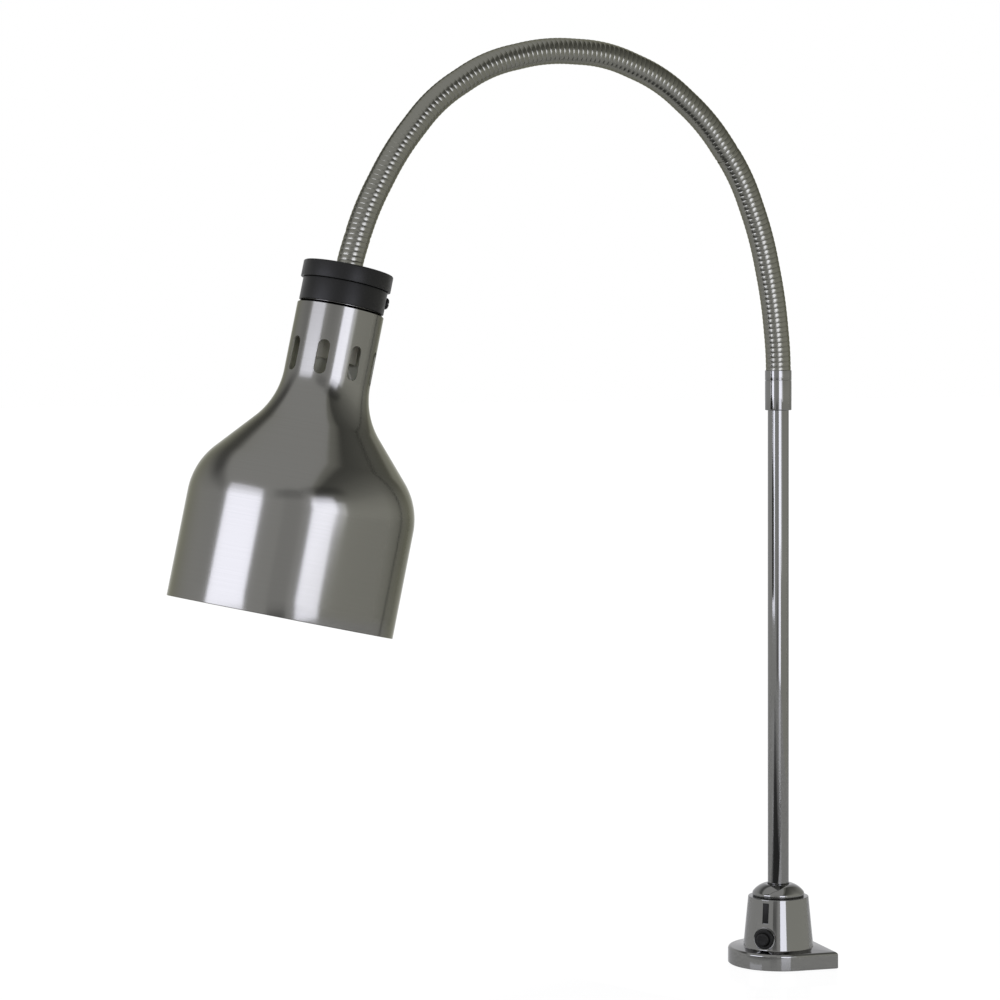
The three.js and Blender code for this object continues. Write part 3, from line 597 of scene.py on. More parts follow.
# %% Lathe lines
lines, lines_in, lines_out = group(
    "lathe_lines",
    [("Vector", VECTOR, None), ("Lines per metre", FLOAT, 1500.0)],
    [("Lines", FLOAT)],
)
split = lines.nodes.new("ShaderNodeSeparateXYZ")
ring = lines.nodes.new("ShaderNodeTexNoise")
ring.noise_dimensions = "1D"
ring.inputs["Detail"].default_value = 4
ring.inputs["Roughness"].default_value = 0.7
lines.links.new(lines_in.outputs["Vector"], split.inputs["Vector"])
lines.links.new(split.outputs["Z"], ring.inputs["W"])
lines.links.new(lines_in.outputs["Lines per metre"], ring.inputs["Scale"])
lines.links.new(ring.outputs["Fac"], lines_out.inputs["Lines"])
print("three shared effects")

# %% [markdown]
# ## Finishes
# Each finish keeps its own shader, so that its plain numbers stay on the shader, and takes
# only what changes over the surface from the shared effects. The metals are written in the
# grey that they show under a white sky. Two finishes change over one piece: the spun
# aluminium is polished outside and keeps the sheet's unpolished skin inside, which is also
# written paler as painted light, and the bulb's glass is coated above its widest ring, as in
# every reflector bulb.

# %% Material helpers
def new_look(name, color, metallic, roughness, specular=0.5, tint=None):
    """A material with one shader and the plain numbers of its finish."""
    look = bpy.data.materials.new(name)
    look.use_nodes = True
    shader = look.node_tree.nodes["Principled BSDF"]
    shader.inputs["Base Color"].default_value = (*color, 1)
    shader.inputs["Metallic"].default_value = metallic
    shader.inputs["Roughness"].default_value = roughness
    shader.inputs["Specular IOR Level"].default_value = specular
    if tint:
        shader.inputs["Specular Tint"].default_value = (*tint, 1)
    return look, look.node_tree, shader


def object_place(tree, centre=(0, 0, 0), turn=(0, 0, 0)):
    """Object coordinates, measured from a centre and turned with a piece."""
    coordinates = tree.nodes.new("ShaderNodeTexCoord")
    mapping = tree.nodes.new("ShaderNodeMapping")
    mapping.vector_type = "TEXTURE"
    mapping.inputs["Location"].default_value = centre
    mapping.inputs["Rotation"].default_value = turn
    tree.links.new(coordinates.outputs["Object"], mapping.inputs["Vector"])
    return mapping.outputs["Vector"]


def add_group(tree, shared, vector, **values):
    """Places a shared effect in a material, with its own values."""
    node = tree.nodes.new("ShaderNodeGroup")
    node.node_tree = shared
    tree.links.new(vector, node.inputs["Vector"])
    for label, value in values.items():
        node.inputs[label.replace("_", " ")].default_value = value
    return node


def uneven_gloss(tree, shader, vector, scale, low, high):
    """Handling marks on a finish."""
    node = add_group(tree, marks, vector, Scale=scale, Low=low, High=high)
    tree.links.new(node.outputs["Roughness"], shader.inputs["Roughness"])


def skin(tree, shader, vector, scale, depth):
    """Grain on a finish."""
    node = add_group(tree, grain, vector, Scale=scale, Depth=depth)
    tree.links.new(node.outputs["Normal"], shader.inputs["Normal"])


def shade_of(tree, shader, mask, dark, pale):
    """Base colour between two tones by a mask."""
    mix = tree.nodes.new("ShaderNodeMix")
    mix.data_type = "RGBA"
    mix.inputs["A"].default_value = (*dark, 1)
    mix.inputs["B"].default_value = (*pale, 1)
    tree.links.new(mask, mix.inputs["Factor"])
    tree.links.new(mix.outputs["Result"], shader.inputs["Base Color"])


def plain_look(name, color, metallic, roughness, specular, gloss, grained, tint=None):
    """A finish of one colour, with gloss as (scale, low, high) and a grain as (scale, depth)."""
    look, tree, shader = new_look(name, color, metallic, roughness, specular, tint)
    where = object_place(tree)
    uneven_gloss(tree, shader, where, *gloss)
    skin(tree, shader, where, *grained)
    return look


# %% Chrome
METAL_GREY = (0.17, 0.17, 0.165)
chrome = plain_look(
    "chrome_plate", METAL_GREY, 1, 0.08, 0.5, (22, 0.05, 0.11), (260, 0.02),
    (0.82, 0.82, 0.84),
)

# %% Spun aluminium
aluminium, tree, shader = new_look(
    "spun_aluminium", METAL_GREY, 1, 0.2, 0.5, (0.55, 0.55, 0.48)
)
where = object_place(tree, HEAD_CENTRE, (0, HEAD_LEAN, 0))
fine = add_group(tree, lines, where, Lines_per_metre=900)
coarse = add_group(tree, lines, where, Lines_per_metre=140)
both = reckon(tree, "MULTIPLY_ADD", fine.outputs["Lines"], 0.35, coarse.outputs["Lines"])
spun_bump = tree.nodes.new("ShaderNodeBump")
spun_bump.inputs["Strength"].default_value = 0.03
spun_bump.inputs["Distance"].default_value = 0.0003
tree.links.new(both, spun_bump.inputs["Height"])
tree.links.new(spun_bump.outputs["Normal"], shader.inputs["Normal"])
shade_of(tree, shader, fine.outputs["Lines"], (0.161, 0.159, 0.150), (0.186, 0.184, 0.175))
uneven_gloss(tree, shader, where, 9, 0.13, 0.17)

# The inside keeps the unpolished skin of the sheet, rougher than the outside: it is where the
# surface faces the lamp's axis.
# It is also written paler than the outside, as painted light in the dim inside of the shade.
facing = tree.nodes.new("ShaderNodeMapping")
facing.vector_type = "TEXTURE"
facing.inputs["Rotation"].default_value = (0, HEAD_LEAN, 0)
surface = tree.nodes.new("ShaderNodeTexCoord")
tree.links.new(surface.outputs["Normal"], facing.inputs["Vector"])
flat = tree.nodes.new("ShaderNodeVectorMath")
flat.operation = "MULTIPLY"
flat.inputs[1].default_value = (1, 1, 0)
tree.links.new(where, flat.inputs[0])
outwards = tree.nodes.new("ShaderNodeVectorMath")
outwards.operation = "DOT_PRODUCT"
tree.links.new(flat.outputs["Vector"], outwards.inputs[0])
tree.links.new(facing.outputs["Vector"], outwards.inputs[1])
inside = reckon(tree, "LESS_THAN", outwards.outputs["Value"], 0)
for name, dull_skin_and_painted_light in (("Base Color", (0.40, 0.40, 0.34, 1)), ("Roughness", 0.55)):
    either = tree.nodes.new("ShaderNodeMix")
    either.data_type = "RGBA" if name == "Base Color" else "FLOAT"
    tree.links.new(inside, either.inputs["Factor"])
    polished = shader.inputs[name].links[0].from_socket
    ends = [s for s in either.inputs if s.enabled and s.name in ("A", "B")]
    tree.links.new(polished, ends[0])
    ends[1].default_value = dull_skin_and_painted_light
    tree.links.new([s for s in either.outputs if s.enabled][0], shader.inputs[name])

# %% Hose steel
hose_steel, tree, shader = new_look(
    "hose_steel", (0.16, 0.16, 0.135), 1, 0.3, 0.5, (0.5, 0.5, 0.42)
)
along = tree.nodes.new("ShaderNodeUVMap")
along.uv_map = "winding"
fibre = tree.nodes.new("ShaderNodeTexNoise")
fibre.inputs["Scale"].default_value = 60
fibre.inputs["Detail"].default_value = 5
tree.links.new(along.outputs["UV"], fibre.inputs["Vector"])
shade_of(tree, shader, fibre.outputs["Fac"], (0.135, 0.134, 0.115), (0.21, 0.209, 0.19))
gloss = map_range(tree, fibre.outputs["Fac"], 0.16, 0.26, 0.3, 0.7)
tree.links.new(gloss, shader.inputs["Roughness"])

# %% Zinc, brass and tungsten
ZINC = (0.42, 0.43, 0.44)
BRASS = (0.52, 0.38, 0.15)
zinc = plain_look("zinc_steel", ZINC, 1, 0.35, 0.5, (120, 0.28, 0.45), (900, 0.1))
brass = plain_look("brass", BRASS, 1, 0.3, 0.5, (90, 0.2, 0.38), (700, 0.08))
tungsten, tree, shader = new_look("tungsten", (0.14, 0.14, 0.14), 1, 0.5)
uneven_gloss(tree, shader, object_place(tree), 400, 0.4, 0.6)

# %% Black plastic, rubber and lead cover
BLACK = (0.009, 0.009, 0.0085)
SOOT = (0.012, 0.012, 0.012)
CREAM = (0.66, 0.62, 0.53)
plastic = plain_look("black_plastic", BLACK, 0, 0.42, 0.16, (55, 0.34, 0.48), (1600, 0.12))
rubber = plain_look("black_rubber", SOOT, 0, 0.75, 0.3, (60, 0.65, 0.85), (1100, 0.3))
lead_cover = plain_look("lead_cover", CREAM, 0, 0.7, 0.3, (200, 0.6, 0.8), (1400, 0.4))

# %% Porcelain and glass
# The socket is written darker than its porcelain, as painted shade for the dim inside of the
# neck.
CHINA_DARKENED_AS_SHADE = (0.38, 0.37, 0.30)
porcelain = plain_look("porcelain", CHINA_DARKENED_AS_SHADE, 0, 0.5, 0.5, (40, 0.45, 0.6), (320, 0.06))

SILVER_LINE = -0.185
SILVER_FADE = 0.002
CLEAR_GLASS = (0.86, 0.85, 0.82)
glass, tree, shader = new_look("frosted_glass", CLEAR_GLASS, 0, 0.35)
where = object_place(tree, HEAD_CENTRE, (0, HEAD_LEAN, 0))
uneven_gloss(tree, shader, where, 60, 0.28, 0.42)
skin(tree, shader, where, 1500, 0.15)
height = tree.nodes.new("ShaderNodeSeparateXYZ")
tree.links.new(where, height.inputs["Vector"])
fade = (SILVER_LINE - SILVER_FADE, SILVER_LINE + SILVER_FADE)
silver = map_range(tree, height.outputs["Z"], 0.0, 1.0, *fade)
shade_of(tree, shader, silver, CLEAR_GLASS, (0.36, 0.36, 0.29))
print(len(bpy.data.materials), "materials")

# %% [markdown]
# ## Gooseneck
# The hose is a wire wound in close turns, so that each turn shows as a small rib. One rib's
# outline, repeated along the hose and spun with a lift of one pitch a turn, makes the
# winding as a screw. The straight winding is cut into twelve lengths, one over each hinge,
# and each length is laid along the hose's middle line.
#
# Two lengths are cut at their hinge. The halves of a cut length ride on one body each. Their
# ends are set back to a blunt wedge, so that they don't meet when the hose bends, and a ball
# on the near half fills the gap.

# %% The hose's middle line
HOSE_FOOT = 482.0
LENGTH = 51.875
STUB = 11.0
TURNS = (6, 6.5, 9, 15.5, 14.5, 18.5, 19, 15, 18.5, 18, 10.5, 10.5, 6)


def hose_links():
    """Each stretch of the hose as its length, its straight start and its turn."""
    last = len(TURNS) - 1
    for index, turn in enumerate(TURNS):
        length = LENGTH / 2 if index in (0, last) else LENGTH
        yield length, STUB if index else 0.0, math.radians(turn)


def hose_place(distance):
    """The matrix at a distance along the hose: +Z runs on along it."""
    place = Matrix.Translation((0, 0, HOSE_FOOT))
    for length, stub, turn in hose_links():
        ahead = min(distance, length)
        if ahead <= stub:
            return place @ Matrix.Translation((0, 0, ahead))
        radius = (length - stub) / turn
        bend = (ahead - stub) / radius
        aside = radius * (math.cos(bend) - 1)
        onward = stub + radius * math.sin(bend)
        place = place @ Matrix.Translation((aside, 0, onward))
        place = place @ Matrix.Rotation(-bend, 4, "Y")
        distance -= length
        if distance <= 0:
            return place
    return place @ Matrix.Translation((0, 0, distance))


HINGES = 12
hose_end = hose_place(HINGES * LENGTH)
print("hose ends at", [round(c, 2) for c in hose_end.translation])

# %% One length of winding
RIBS = 13
RIB = LENGTH / RIBS
SPARE_RIBS = 2  # past either end, for the ends to be cut from
CREST = 10.1
GROOVE = 9.86
AROUND_HOSE = 40
BALL = 9.8  # a little under the groove, so that it stays inside the winding
SLANT = math.radians(7.7)  # a little over half of the most that a hinge turns
RIDGE = 0.15


def rib_points():
    """One low rib from groove to groove, as a place along the hose and a radius."""
    rise = CREST - GROOVE
    for share, lift in (
        (0.0, 0.0), (0.03, 0.15), (0.07, 0.42), (0.15, 0.63), (0.3, 0.88),
        (0.5, 1.0), (0.7, 0.88), (0.85, 0.63), (0.93, 0.42), (0.97, 0.15),
    ):
        yield share * RIB, GROOVE + rise * lift


def cut_end(bm, height, facing, closed=True):
    """Cuts a length of winding off with a plane, and closes it there."""
    cut = bmesh.ops.bisect_plane(
        bm,
        geom=bm.verts[:] + bm.edges[:] + bm.faces[:],
        plane_co=(0, 0, height * MM),
        plane_no=facing,
        clear_outer=True,
    )
    if closed:
        rim = [g for g in cut["geom_cut"] if isinstance(g, bmesh.types.BMEdge)]
        bmesh.ops.contextual_create(bm, geom=rim)


def wound_length(low=True, high=True):
    """A straight length of winding, or only its low or its high half, with the hinge midway."""
    bm = bmesh.new()
    wire = []
    for rib in range(-SPARE_RIBS, RIBS + SPARE_RIBS):
        wire += [bm.verts.new((r * MM, 0, (rib * RIB + z) * MM)) for z, r in rib_points()]
    for a, b in zip(wire, wire[1:]):
        bm.edges.new((a, b))
    bmesh.ops.spin(
        bm,
        geom=bm.verts[:] + bm.edges[:],
        cent=(0, 0, 0),
        axis=(0, 0, 1),
        dvec=(0, 0, RIB / AROUND_HOSE * MM),
        angle=math.tau,
        steps=AROUND_HOSE,
        use_merge=False,
    )
    bmesh.ops.remove_doubles(bm, verts=bm.verts, dist=4 * WELD)
    across, along = math.sin(SLANT), math.cos(SLANT)
    if low:
        cut_end(bm, 0, (0, 0, -1))
    if high:
        cut_end(bm, LENGTH, (0, 0, 1))
    for side in (-across, across):
        if not high:
            cut_end(bm, LENGTH / 2 - RIDGE, (side, 0, along))
        if not low:
            cut_end(bm, LENGTH / 2 + RIDGE, (side, 0, -along), closed=False)
    if not high:
        bmesh.ops.create_uvsphere(
            bm,
            u_segments=AROUND_HOSE,
            v_segments=AROUND_HOSE // 2,
            radius=BALL * MM,
            matrix=Matrix.Translation((0, 0, LENGTH / 2 * MM)),
        )
    return bm


# %% Lay the winding along the middle line
CUT_HINGES = (4, 12)
TURNED_HINGE = 10
BLEND_MARGIN = 3.0
WRAP = 0.35  # how much of the wire's grain goes round the hose
BODIES = ["post"] + [f"hose_{i:02d}" for i in range(1, HINGES)] + ["head"]


def lay_length(index, low=True, high=True):
    """The winding over one hinge, or half of it, with a map of its own for the grain."""
    bm = wound_length(low, high)
    bmesh.ops.recalc_face_normals(bm, faces=bm.faces)
    winding = bm.loops.layers.uv.new("winding")
    for face in bm.faces:
        for loop in face.loops:
            co = loop.vert.co
            angle = math.atan2(co.y, co.x)
            loop[winding].uv = (angle * WRAP, co.z / MM / RIB + index * RIBS)
    for vert in bm.verts:
        flat = Vector((vert.co.x, vert.co.y, 0)) / MM
        place = hose_place((index - 1) * LENGTH + vert.co.z / MM)
        vert.co = (place @ flat) * MM
    half = "" if low and high else "_near" if low else "_far"
    piece = make_object(f"hose_winding_{index:02d}{half}", bm)
    piece.data.materials.append(hose_steel)
    start = hose_place((index - 1) * LENGTH + BLEND_MARGIN).translation * MM
    end = hose_place(index * LENGTH - BLEND_MARGIN).translation * MM
    near, far = BODIES[index - 1], BODIES[index]
    if half:
        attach(piece, near if low else far)
    elif index == TURNED_HINGE:
        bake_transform(piece)
    else:
        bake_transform(piece)
    if high:
        covered = [f"hose_link_{index:02d}"] + (["hose_link_00"] if index == 1 else [])
        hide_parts(*covered)
    return piece


windings = []
for index in range(1, HINGES + 1):
    if index in CUT_HINGES:
        windings += [lay_length(index, high=False), lay_length(index, low=False)]
    else:
        windings.append(lay_length(index))
print(sum(len(w.data.polygons) for w in windings), "faces of winding")

# %% [markdown]
# ## Post and its couplings
# The post is a piece of plated lamp pipe. A coupling and a ferrule of the same plating
# grip it and the hose. Their corners are rounded a little, because a plated edge is never
# sharp and the rounding catches a bright line. The ferrule has a lip below that stands
# behind the seam to the coupling, so that no light comes through it.

# %% Post, coupling and ferrule
SIDES = 128  # of the round pieces whose outline shows

pipe_line = [(6.95, 33.5), (8.55, 33.5, 0.4), (8.55, 468, 0.4), (6.95, 468)]
post = make_object("post_pipe", turned(pipe_line, SIDES))
finish(post, chrome, "chrome_plate", "post", "post_tube")

coupling = make_object(
    "post_sleeve",
    turned([
        (8.75, 449.7), (10.75, 449.7, 0.7), (10.75, 473.7, 0.1), (5.4, 473.7),
        (5.4, 468.3), (8.75, 468.3),
    ], SIDES),
)
finish(coupling, chrome, "chrome_plate", "post", "post_coupling")

ferrule = make_object(
    "hose_collar",
    turned([
        (9.5, 473.75), (10.35, 473.75), (10.35, 474), (10.75, 474, 0.1),
        (10.75, 482, 0.5), (9.5, 482),
    ], SIDES),
)
finish(ferrule, chrome, "chrome_plate", "post", "hose_ferrule")

# %% [markdown]
# ## Base
# The base is one zinc casting: a D-shaped flange with a cone on it, hollow underneath. Its
# outline changes from a D to a circle on the way up, so it isn't spun. It is drawn as one
# ring of vertices that is extruded again and again, and every new ring is given its own
# shape. The hole for the cord, the place for the legend and the screw holes are cut last.

# %% The rings of the casting
FLANGE_R = 41.0
FLANGE_REACH = 35.5
FLANGE_TOP = 13.4
FLANGE_ROUND = 2.4
CONE_FOOT_R = 28.4
CONE_FOOT_FILLET = 0.7
CONE_TOP_R = 24.55
CONE_TOP = 54.4
CONE_TOP_ROUND = 0.6
FLANGE_WALL = 4.0
CAVITY_TOP = 9.4
BORE_R = 8.85
RING = 192


def d_shape(inset):
    """The D outline, moved in by an inset, as a function of the angle."""
    side = FLANGE_R - inset
    reach = FLANGE_REACH - inset
    corner = math.atan2(side, reach)

    def place(angle):
        if abs(angle) > math.pi / 2:
            return side * math.cos(angle), side * math.sin(angle)
        if abs(abs(angle) - corner) < math.pi / RING:
            return reach, math.copysign(side, angle)
        if abs(angle) < corner:
            return reach, reach * math.tan(angle)
        return side / math.tan(abs(angle)), math.copysign(side, angle)

    return place


def circle(radius):
    """A circle as a function of the angle."""
    return lambda angle: (radius * math.cos(angle), radius * math.sin(angle))


def fillet(steps, low, high):
    """Angles in degrees from low to high."""
    return [math.radians(low + (high - low) * i / steps) for i in range(steps + 1)]


def casting_rings():
    """Every ring of the casting as a shape and a height, from the underside round."""
    yield d_shape(0.6), 0.0
    yield d_shape(0.0), 0.6
    r = FLANGE_ROUND
    for a in fillet(6, 0, 90):
        yield d_shape(r - r * math.cos(a)), FLANGE_TOP - r + r * math.sin(a)
    r = CONE_FOOT_FILLET
    for a in fillet(3, 0, 90):
        yield circle(CONE_FOOT_R + r - r * math.sin(a)), FLANGE_TOP + r - r * math.cos(a)
    r = CONE_TOP_ROUND
    for a in fillet(4, 0, 90):
        yield circle(CONE_TOP_R - r + r * math.cos(a)), CONE_TOP - r + r * math.sin(a)
    yield circle(BORE_R), CONE_TOP
    yield circle(BORE_R), 40.4
    yield circle(20.7), 40.4
    yield circle(24.4), CAVITY_TOP
    yield d_shape(FLANGE_WALL), CAVITY_TOP
    yield d_shape(FLANGE_WALL), 0.0


def grow_casting():
    """Extrudes one ring after another and closes the last on the first."""
    bm = bmesh.new()
    bmesh.ops.create_circle(bm, cap_ends=False, radius=1, segments=RING)
    bearing = bm.verts.layers.float.new("bearing")  # an extruded vertex keeps it
    for vert in bm.verts:
        vert[bearing] = math.atan2(vert.co.y, vert.co.x)
    first = ring = bm.edges[:]
    for number, (shape, height) in enumerate(casting_rings()):
        if number:
            grown = bmesh.ops.extrude_edge_only(bm, edges=ring)["geom"]
            ring = [g for g in grown if isinstance(g, bmesh.types.BMEdge)]
        for vert in {v for edge in ring for v in edge.verts}:
            vert.co = Vector((*shape(vert[bearing]), height)) * MM
    bmesh.ops.bridge_loops(bm, edges=first + ring)
    return bm


casting = make_object("base_body", grow_casting(), base_place)

# %% Boss, holes and recess
SWITCH_BEARING = 225
CORD_BEARING = 45
FIXING_Y = (-32.8, 32.8)
switch_place = base_place @ outward(SWITCH_BEARING, 23)
cord_place = base_place @ outward(CORD_BEARING, 28)


def rod(name, radius, low, high, place, sides=64):
    """A plain rod along +Z, moved to its place, as a tool to cut or join with."""
    line = [(0, low), (radius, low), (radius, high), (0, high)]
    return make_object(name, turned(line, sides), place)


boss = make_object(
    "boss", turned([(0, 22), (9.4, 22), (9.4, 28, 0.2), (0, 28)]), switch_place
)
fixing_places = [base_place @ Matrix.Translation((0, y * MM, 0)) for y in FIXING_Y]
posts = [rod("fixing", 5, 0, 11, place) for place in fixing_places]
carve(casting, [boss] + posts, "UNION")

legend_lean = math.atan((CONE_FOOT_R - 24.7) / (53 - FLANGE_TOP))
legend_place = (
    base_place
    @ Matrix.Rotation(math.radians(SWITCH_BEARING), 4, "Z")
    @ Matrix.Translation((25.588 * MM, 0, 43.5 * MM))
    @ Matrix.Rotation(-legend_lean, 4, "Y")
)


def block(name, thickness, width, height, front, place, rounding=0.0):
    """A block whose front face stands at a distance from its place."""
    bm = bmesh.new()
    bmesh.ops.create_cube(bm, size=1)
    bmesh.ops.scale(bm, vec=Vector((thickness, width, height)) * MM, verts=bm.verts)
    bmesh.ops.translate(bm, vec=((front - thickness / 2) * MM, 0, 0), verts=bm.verts)
    if rounding:
        round_off(bm, bm.edges[:], rounding, "EDGES", 3)
    return make_object(name, bm, place)


cuts = [
    block("recess", 4, 5.2, 16.6, 2.9, legend_place),
    rod("barrel_hole", 6.5, 15, 31, switch_place),
    rod("cord_hole", 6, 15, 31, cord_place),
    rod("cord_seat", 7.3, 26.472, 33, cord_place),
]
cuts += [rod("hole", 2.1, -3, 9, place, 32) for place in fixing_places]
carve(casting, cuts)
finish(casting, chrome, "chrome_plate", "base", "base_casting")

# %% [markdown]
# ## Collar on the turret
# The post turns in a domed collar that stands on the cone. It is turned like the post, with
# a screw hole at its back. Its foot is drawn in under a rounded lip, which leaves the dark
# ring between collar and cone.

# %% Collar
def arc(centre_r, centre_h, radius, start, end, steps):
    """Points of an arc in an outline."""
    return [
        (centre_r + radius * math.cos(a), centre_h + radius * math.sin(a))
        for a in fillet(steps, start, end)
    ]


COLLAR_FOOT = 54.7
DOME = 17.7
DOME_FOOT = math.radians(26)
DOME_END = 73
LIP = 3.2
LIP_END = 38
lip_end = math.radians(LIP_END)
dome_r = 22.4 - DOME * math.cos(DOME_FOOT)
dome_h = COLLAR_FOOT + 0.5 - DOME * math.sin(DOME_FOOT)
dome_top = dome_h + DOME * math.sin(math.radians(DOME_END))
lip_r = dome_r + (DOME - LIP) * math.cos(lip_end)
lip_h = dome_h + (DOME - LIP) * math.sin(lip_end)
collar = make_object(
    "turret_collar",
    turned(
        [(BORE_R, COLLAR_FOOT), (20.75, COLLAR_FOOT)]
        + arc(lip_r, lip_h, LIP, -25, LIP_END, 8)
        + arc(dome_r, dome_h, DOME, LIP_END, DOME_END, 14)[1:]
        + [(BORE_R, dome_top, 0.5)],
        SIDES,
    ),
    base_place,
)
set_screw_place = base_place @ outward(CORD_BEARING, 59.3)
carve(collar, [rod("set_screw_hole", 2.3, 5, 30, set_screw_place, 32)])
finish(collar, chrome, "chrome_plate", "base", "post_collar")

# %% [markdown]
# ## Switch
# The button is a domed plastic plug in a flanged barrel. The crown is dished a little, as a
# thumb expects, and the edges are moulded round.

# %% Button, barrel and legend
button = make_object(
    "push_button",
    turned([
        (0, 19.3), (5.2, 19.3), (5.2, 32.3, 1.1), (3.6, 32.3, 0.6),
        (1.8, 32.05, 0.6), (0, 32.0),
    ], 64),
    switch_place,
)
finish(button, plastic, "black_plastic", "switch_button", "switch_button")

barrel = make_object(
    "switch_barrel",
    turned([
        (0, 12.3), (6.2, 12.3, 0.4), (6.2, 28.3), (8, 28.3, 0.2),
        (8, 29.9, 0.6), (5.5, 29.9, 0.3), (5.5, 14.3), (0, 14.3),
    ], 64),
    switch_place,
)
finish(barrel, plastic, "black_plastic", "base", "switch_body")

legend = block("legend_strip", 0.8, 4.6, 16, 0.0, legend_place, 0.25)
finish(legend, plastic, "black_plastic", "base", "legend_plate")

# %% [markdown]
# ## Cap
# The cap is two moulded steps: a lid, and a collar a little smaller under it that holds the
# shade. A thin dark line between them is a real gap.

# %% Lid and collar
lid = make_object(
    "cap_top",
    turned([
        (5.4, -3.4), (31.3, -3.4), (31.3, -12.6), (34.3, -12.6, 0.35),
        (34.3, 0, 1.3), (10.8, 0, 0.3), (10.8, -1.3), (5.4, -1.3),
    ], SIDES),
    head_place,
)
finish(lid, plastic, "black_plastic", "head", "cap_lid")

skirt = make_object(
    "cap_skirt",
    turned([
        (5.4, -15.9), (30.6, -15.9), (30.6, -29.9, 0.2), (32.3, -29.9, 0.5),
        (32.3, -12.9, 0.4), (7.5, -12.9), (7.5, -3.7), (5.4, -3.7),
    ], SIDES),
    head_place,
)
FIRST_SLOT = -90 + 10.8  # the bearing of the first vent slot
SLOT_STEP = 45
SCREW_BEARING = FIRST_SLOT + 1.5 * SLOT_STEP
SCREW_HEIGHT = -20.1
screw_place = head_place @ outward(SCREW_BEARING, SCREW_HEIGHT)
carve(skirt, [rod("screw_hole", 2.0, 0, 36, screw_place, 32)])
finish(skirt, plastic, "black_plastic", "head", "cap_collar")

# %% Shade screw
screw = make_object(
    "shade_fixing_screw",
    turned([
        (0, 25.6), (1.7, 25.6), (1.7, 32.6), (4.4, 32.6, 0.2),
        (4.4, 33.6), (3.4, 34.9, 0.8), (0, 35.2),
    ], 48),
    screw_place,
)
driver_place = (
    head_place
    @ Matrix.Rotation(math.radians(SCREW_BEARING), 4, "Z")
    @ Matrix.Translation((0, 0, SCREW_HEIGHT * MM))
)
carve(screw, [block("slot", 4, 12, 1.0, 38.3, driver_place)])
finish(screw, plastic, "black_plastic", "head", "shade_screw")

# %% [markdown]
# ## Shade
# A disc of aluminium is pressed over a turning form until it is a bell. Its wall has the
# same thickness all over, so the inner line is the outer line moved in by one wall. The
# rim is rounded, and eight slots are punched through the neck to let the heat out.

# %% The shade's lines
SHADE_R = 86.0
WALL = 1.2
SKIRT = 81.0
SHOULDER_R = 54.0
FLARE_R = 58.0
SHOULDER_TURN = 41.5
NECK_R = 33.0
NECK = 54.0
NECK_STEP = 13
TOP_R = 30.3  # the neck's top, which the cap hides
TOP = 12
slope = math.radians(SHOULDER_TURN)
curved_drop = (SHOULDER_R + FLARE_R) * (1 - math.cos(slope))
slant_drop = SHADE_R - NECK_R - curved_drop
BELL = SKIRT + (SHOULDER_R + FLARE_R) * math.sin(slope) + slant_drop / math.tan(slope)
NECK_END = BELL + NECK
CAP_DEPTH = 29.9
RIM = NECK_END + CAP_DEPTH + 0.3


def shade_line(inset):
    """One side of the shade's wall, from the rim up into the cap."""
    line = [(SHADE_R - inset, SKIRT * i / 6) for i in range(7)]
    line += arc(SHADE_R - SHOULDER_R, SKIRT, SHOULDER_R - inset, 0, SHOULDER_TURN, 18)[1:]
    line += arc(NECK_R + FLARE_R, BELL, FLARE_R + inset, 180 + SHOULDER_TURN, 180, 18)
    line += [(NECK_R - inset, BELL + i * NECK_STEP) for i in (1, 2, 3, 4)]
    line += [(TOP_R - inset, NECK_END - inset / 2), (TOP_R - inset, NECK_END + TOP)]
    return [(r, h - RIM) for r, h in line]


outer = shade_line(0)
inner = shade_line(WALL)
rim_round = WALL * 0.45
outline = [(*outer[0], rim_round)] + outer[1:] + inner[:0:-1] + [(*inner[0], rim_round)]
shade = make_object("bell_shade", turned(outline, 160), head_place)

# %% Vent slots
SLOTS = 8
SLOT_W = 9.2
SLOT_L = 26.0
SLOT_MIDDLE = -CAP_DEPTH - 29 - SLOT_L / 2


def slot_tool(index):
    """A rod with a long round section, through one side of the neck."""
    bm = bmesh.new()
    reach = (SLOT_L - SLOT_W) / 2
    disc = bmesh.ops.create_circle(bm, cap_ends=True, radius=SLOT_W / 2 * MM, segments=32)
    for vert in disc["verts"]:
        if abs(vert.co.x) > 1e-6:
            vert.co.x += math.copysign(reach * MM, vert.co.x)
    grown = bmesh.ops.extrude_face_region(bm, geom=bm.faces[:])
    tips = [g for g in grown["geom"] if isinstance(g, bmesh.types.BMVert)]
    bmesh.ops.translate(bm, vec=(0, 0, 40 * MM), verts=tips)
    bmesh.ops.translate(bm, vec=(0, 0, 10 * MM), verts=bm.verts)
    bearing = FIRST_SLOT + SLOT_STEP * index
    return make_object("slot_tool", bm, head_place @ outward(bearing, SLOT_MIDDLE))


holes = [slot_tool(i) for i in range(SLOTS)]
holes.append(rod("shade_hole", 2.0, 0, 36, screw_place, 32))
carve(shade, holes)
finish(shade, aluminium, "spun_aluminium", "head", "shade_bell", "shade_neck")

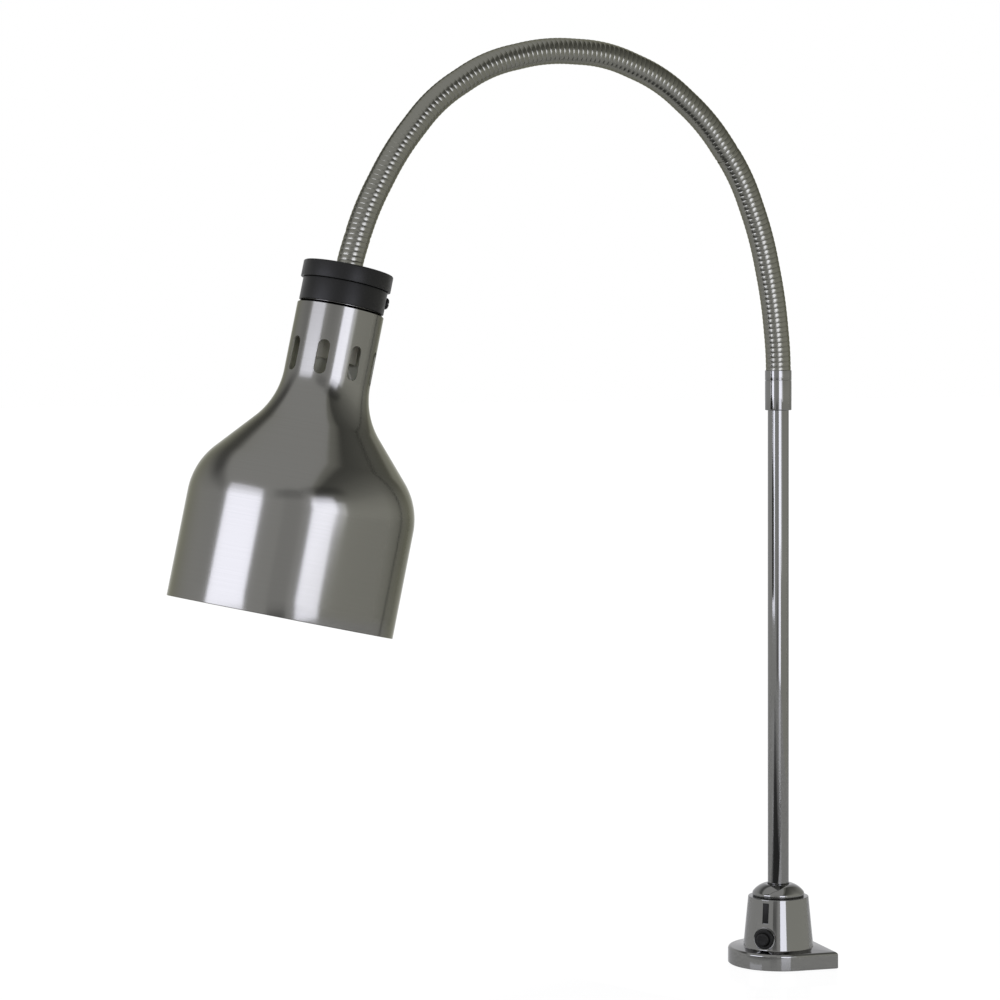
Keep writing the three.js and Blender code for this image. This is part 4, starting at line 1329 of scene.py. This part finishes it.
# %% [markdown]
# ## Bulb
# A reflector bulb: a blown bell with a flattened face. Its outline is a handful of corners
# that are rounded before the spin, as the glass runs from one curve into the next.

# %% Bulb glass
CONTACT = -43.4
GLASS_WALL = 1


def bulb_line(inset):
    """The envelope's outline from the face up, by depth under the contact."""
    top = CONTACT
    return [
        (0, top - 165 + inset),
        (35, top - 162 + inset, 12),
        (57 - inset / 2, top - 151 + inset, 8),
        (63.5 - inset, top - 138, 8),
        (58 - inset, top - 113, 12),
        (45 - inset, top - 90, 14),
        (23 - inset, top - 50, 8),
        (17 - inset, top - 36, 4),
        (11.8 - inset, top - 27.3, 2),
        (11.8 - inset, top - 17),
    ]


bulb_outline = bulb_line(0) + bulb_line(GLASS_WALL)[::-1]
bulb = make_object("reflector_bulb", turned(bulb_outline), head_place)
finish(bulb, glass, "frosted_glass", "head", "bulb_glass")

# %% [markdown]
# ## Finishes on the solids that stay
# Small solids whose shape is right keep their mesh and get the finish of their metal,
# porcelain or plastic.

# %% Dress the solids
KEPT = (
    (zinc, (
        "base_cover_plate", "cover_screw_1", "cover_screw_2", "cover_screw_3", "switch_nut",
        "collar_set_screw", "post_lock_nut", "hose_nipple_lower", "hose_nipple_upper",
        "cap_lock_nut", "socket_bracket", "socket_screw_1", "socket_screw_2",
    )),
    (brass, ("earth_screw", "socket_shell", "socket_tab", "bulb_screw_cap", "bulb_contact")),
    (rubber, ("cord_bushing",)),
    (lead_cover, ("lamp_lead_1", "lamp_lead_2")),
    (porcelain, ("socket_body",)),
    (glass, ("bulb_stem",)),
    (tungsten, ("bulb_filament",)),
)
look_of = {node: look for look, nodes in KEPT for node in nodes}
dressed = 0
for shown in list(scene.objects):
    node = shown.get("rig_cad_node")
    if node in look_of:
        for holder in shown.material_slots:
            holder.material = look_of[node]
        dressed += 1
print(dressed, "solids dressed")

# %% [markdown]
# ## Close
# The boxes of the solids and of the dressed lamp are gathered side by side.

# %% Sizes
boxes = {"cad": cad_box, "dressed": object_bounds()}
{name: [list(corner) for corner in box] for name, box in boxes.items()}
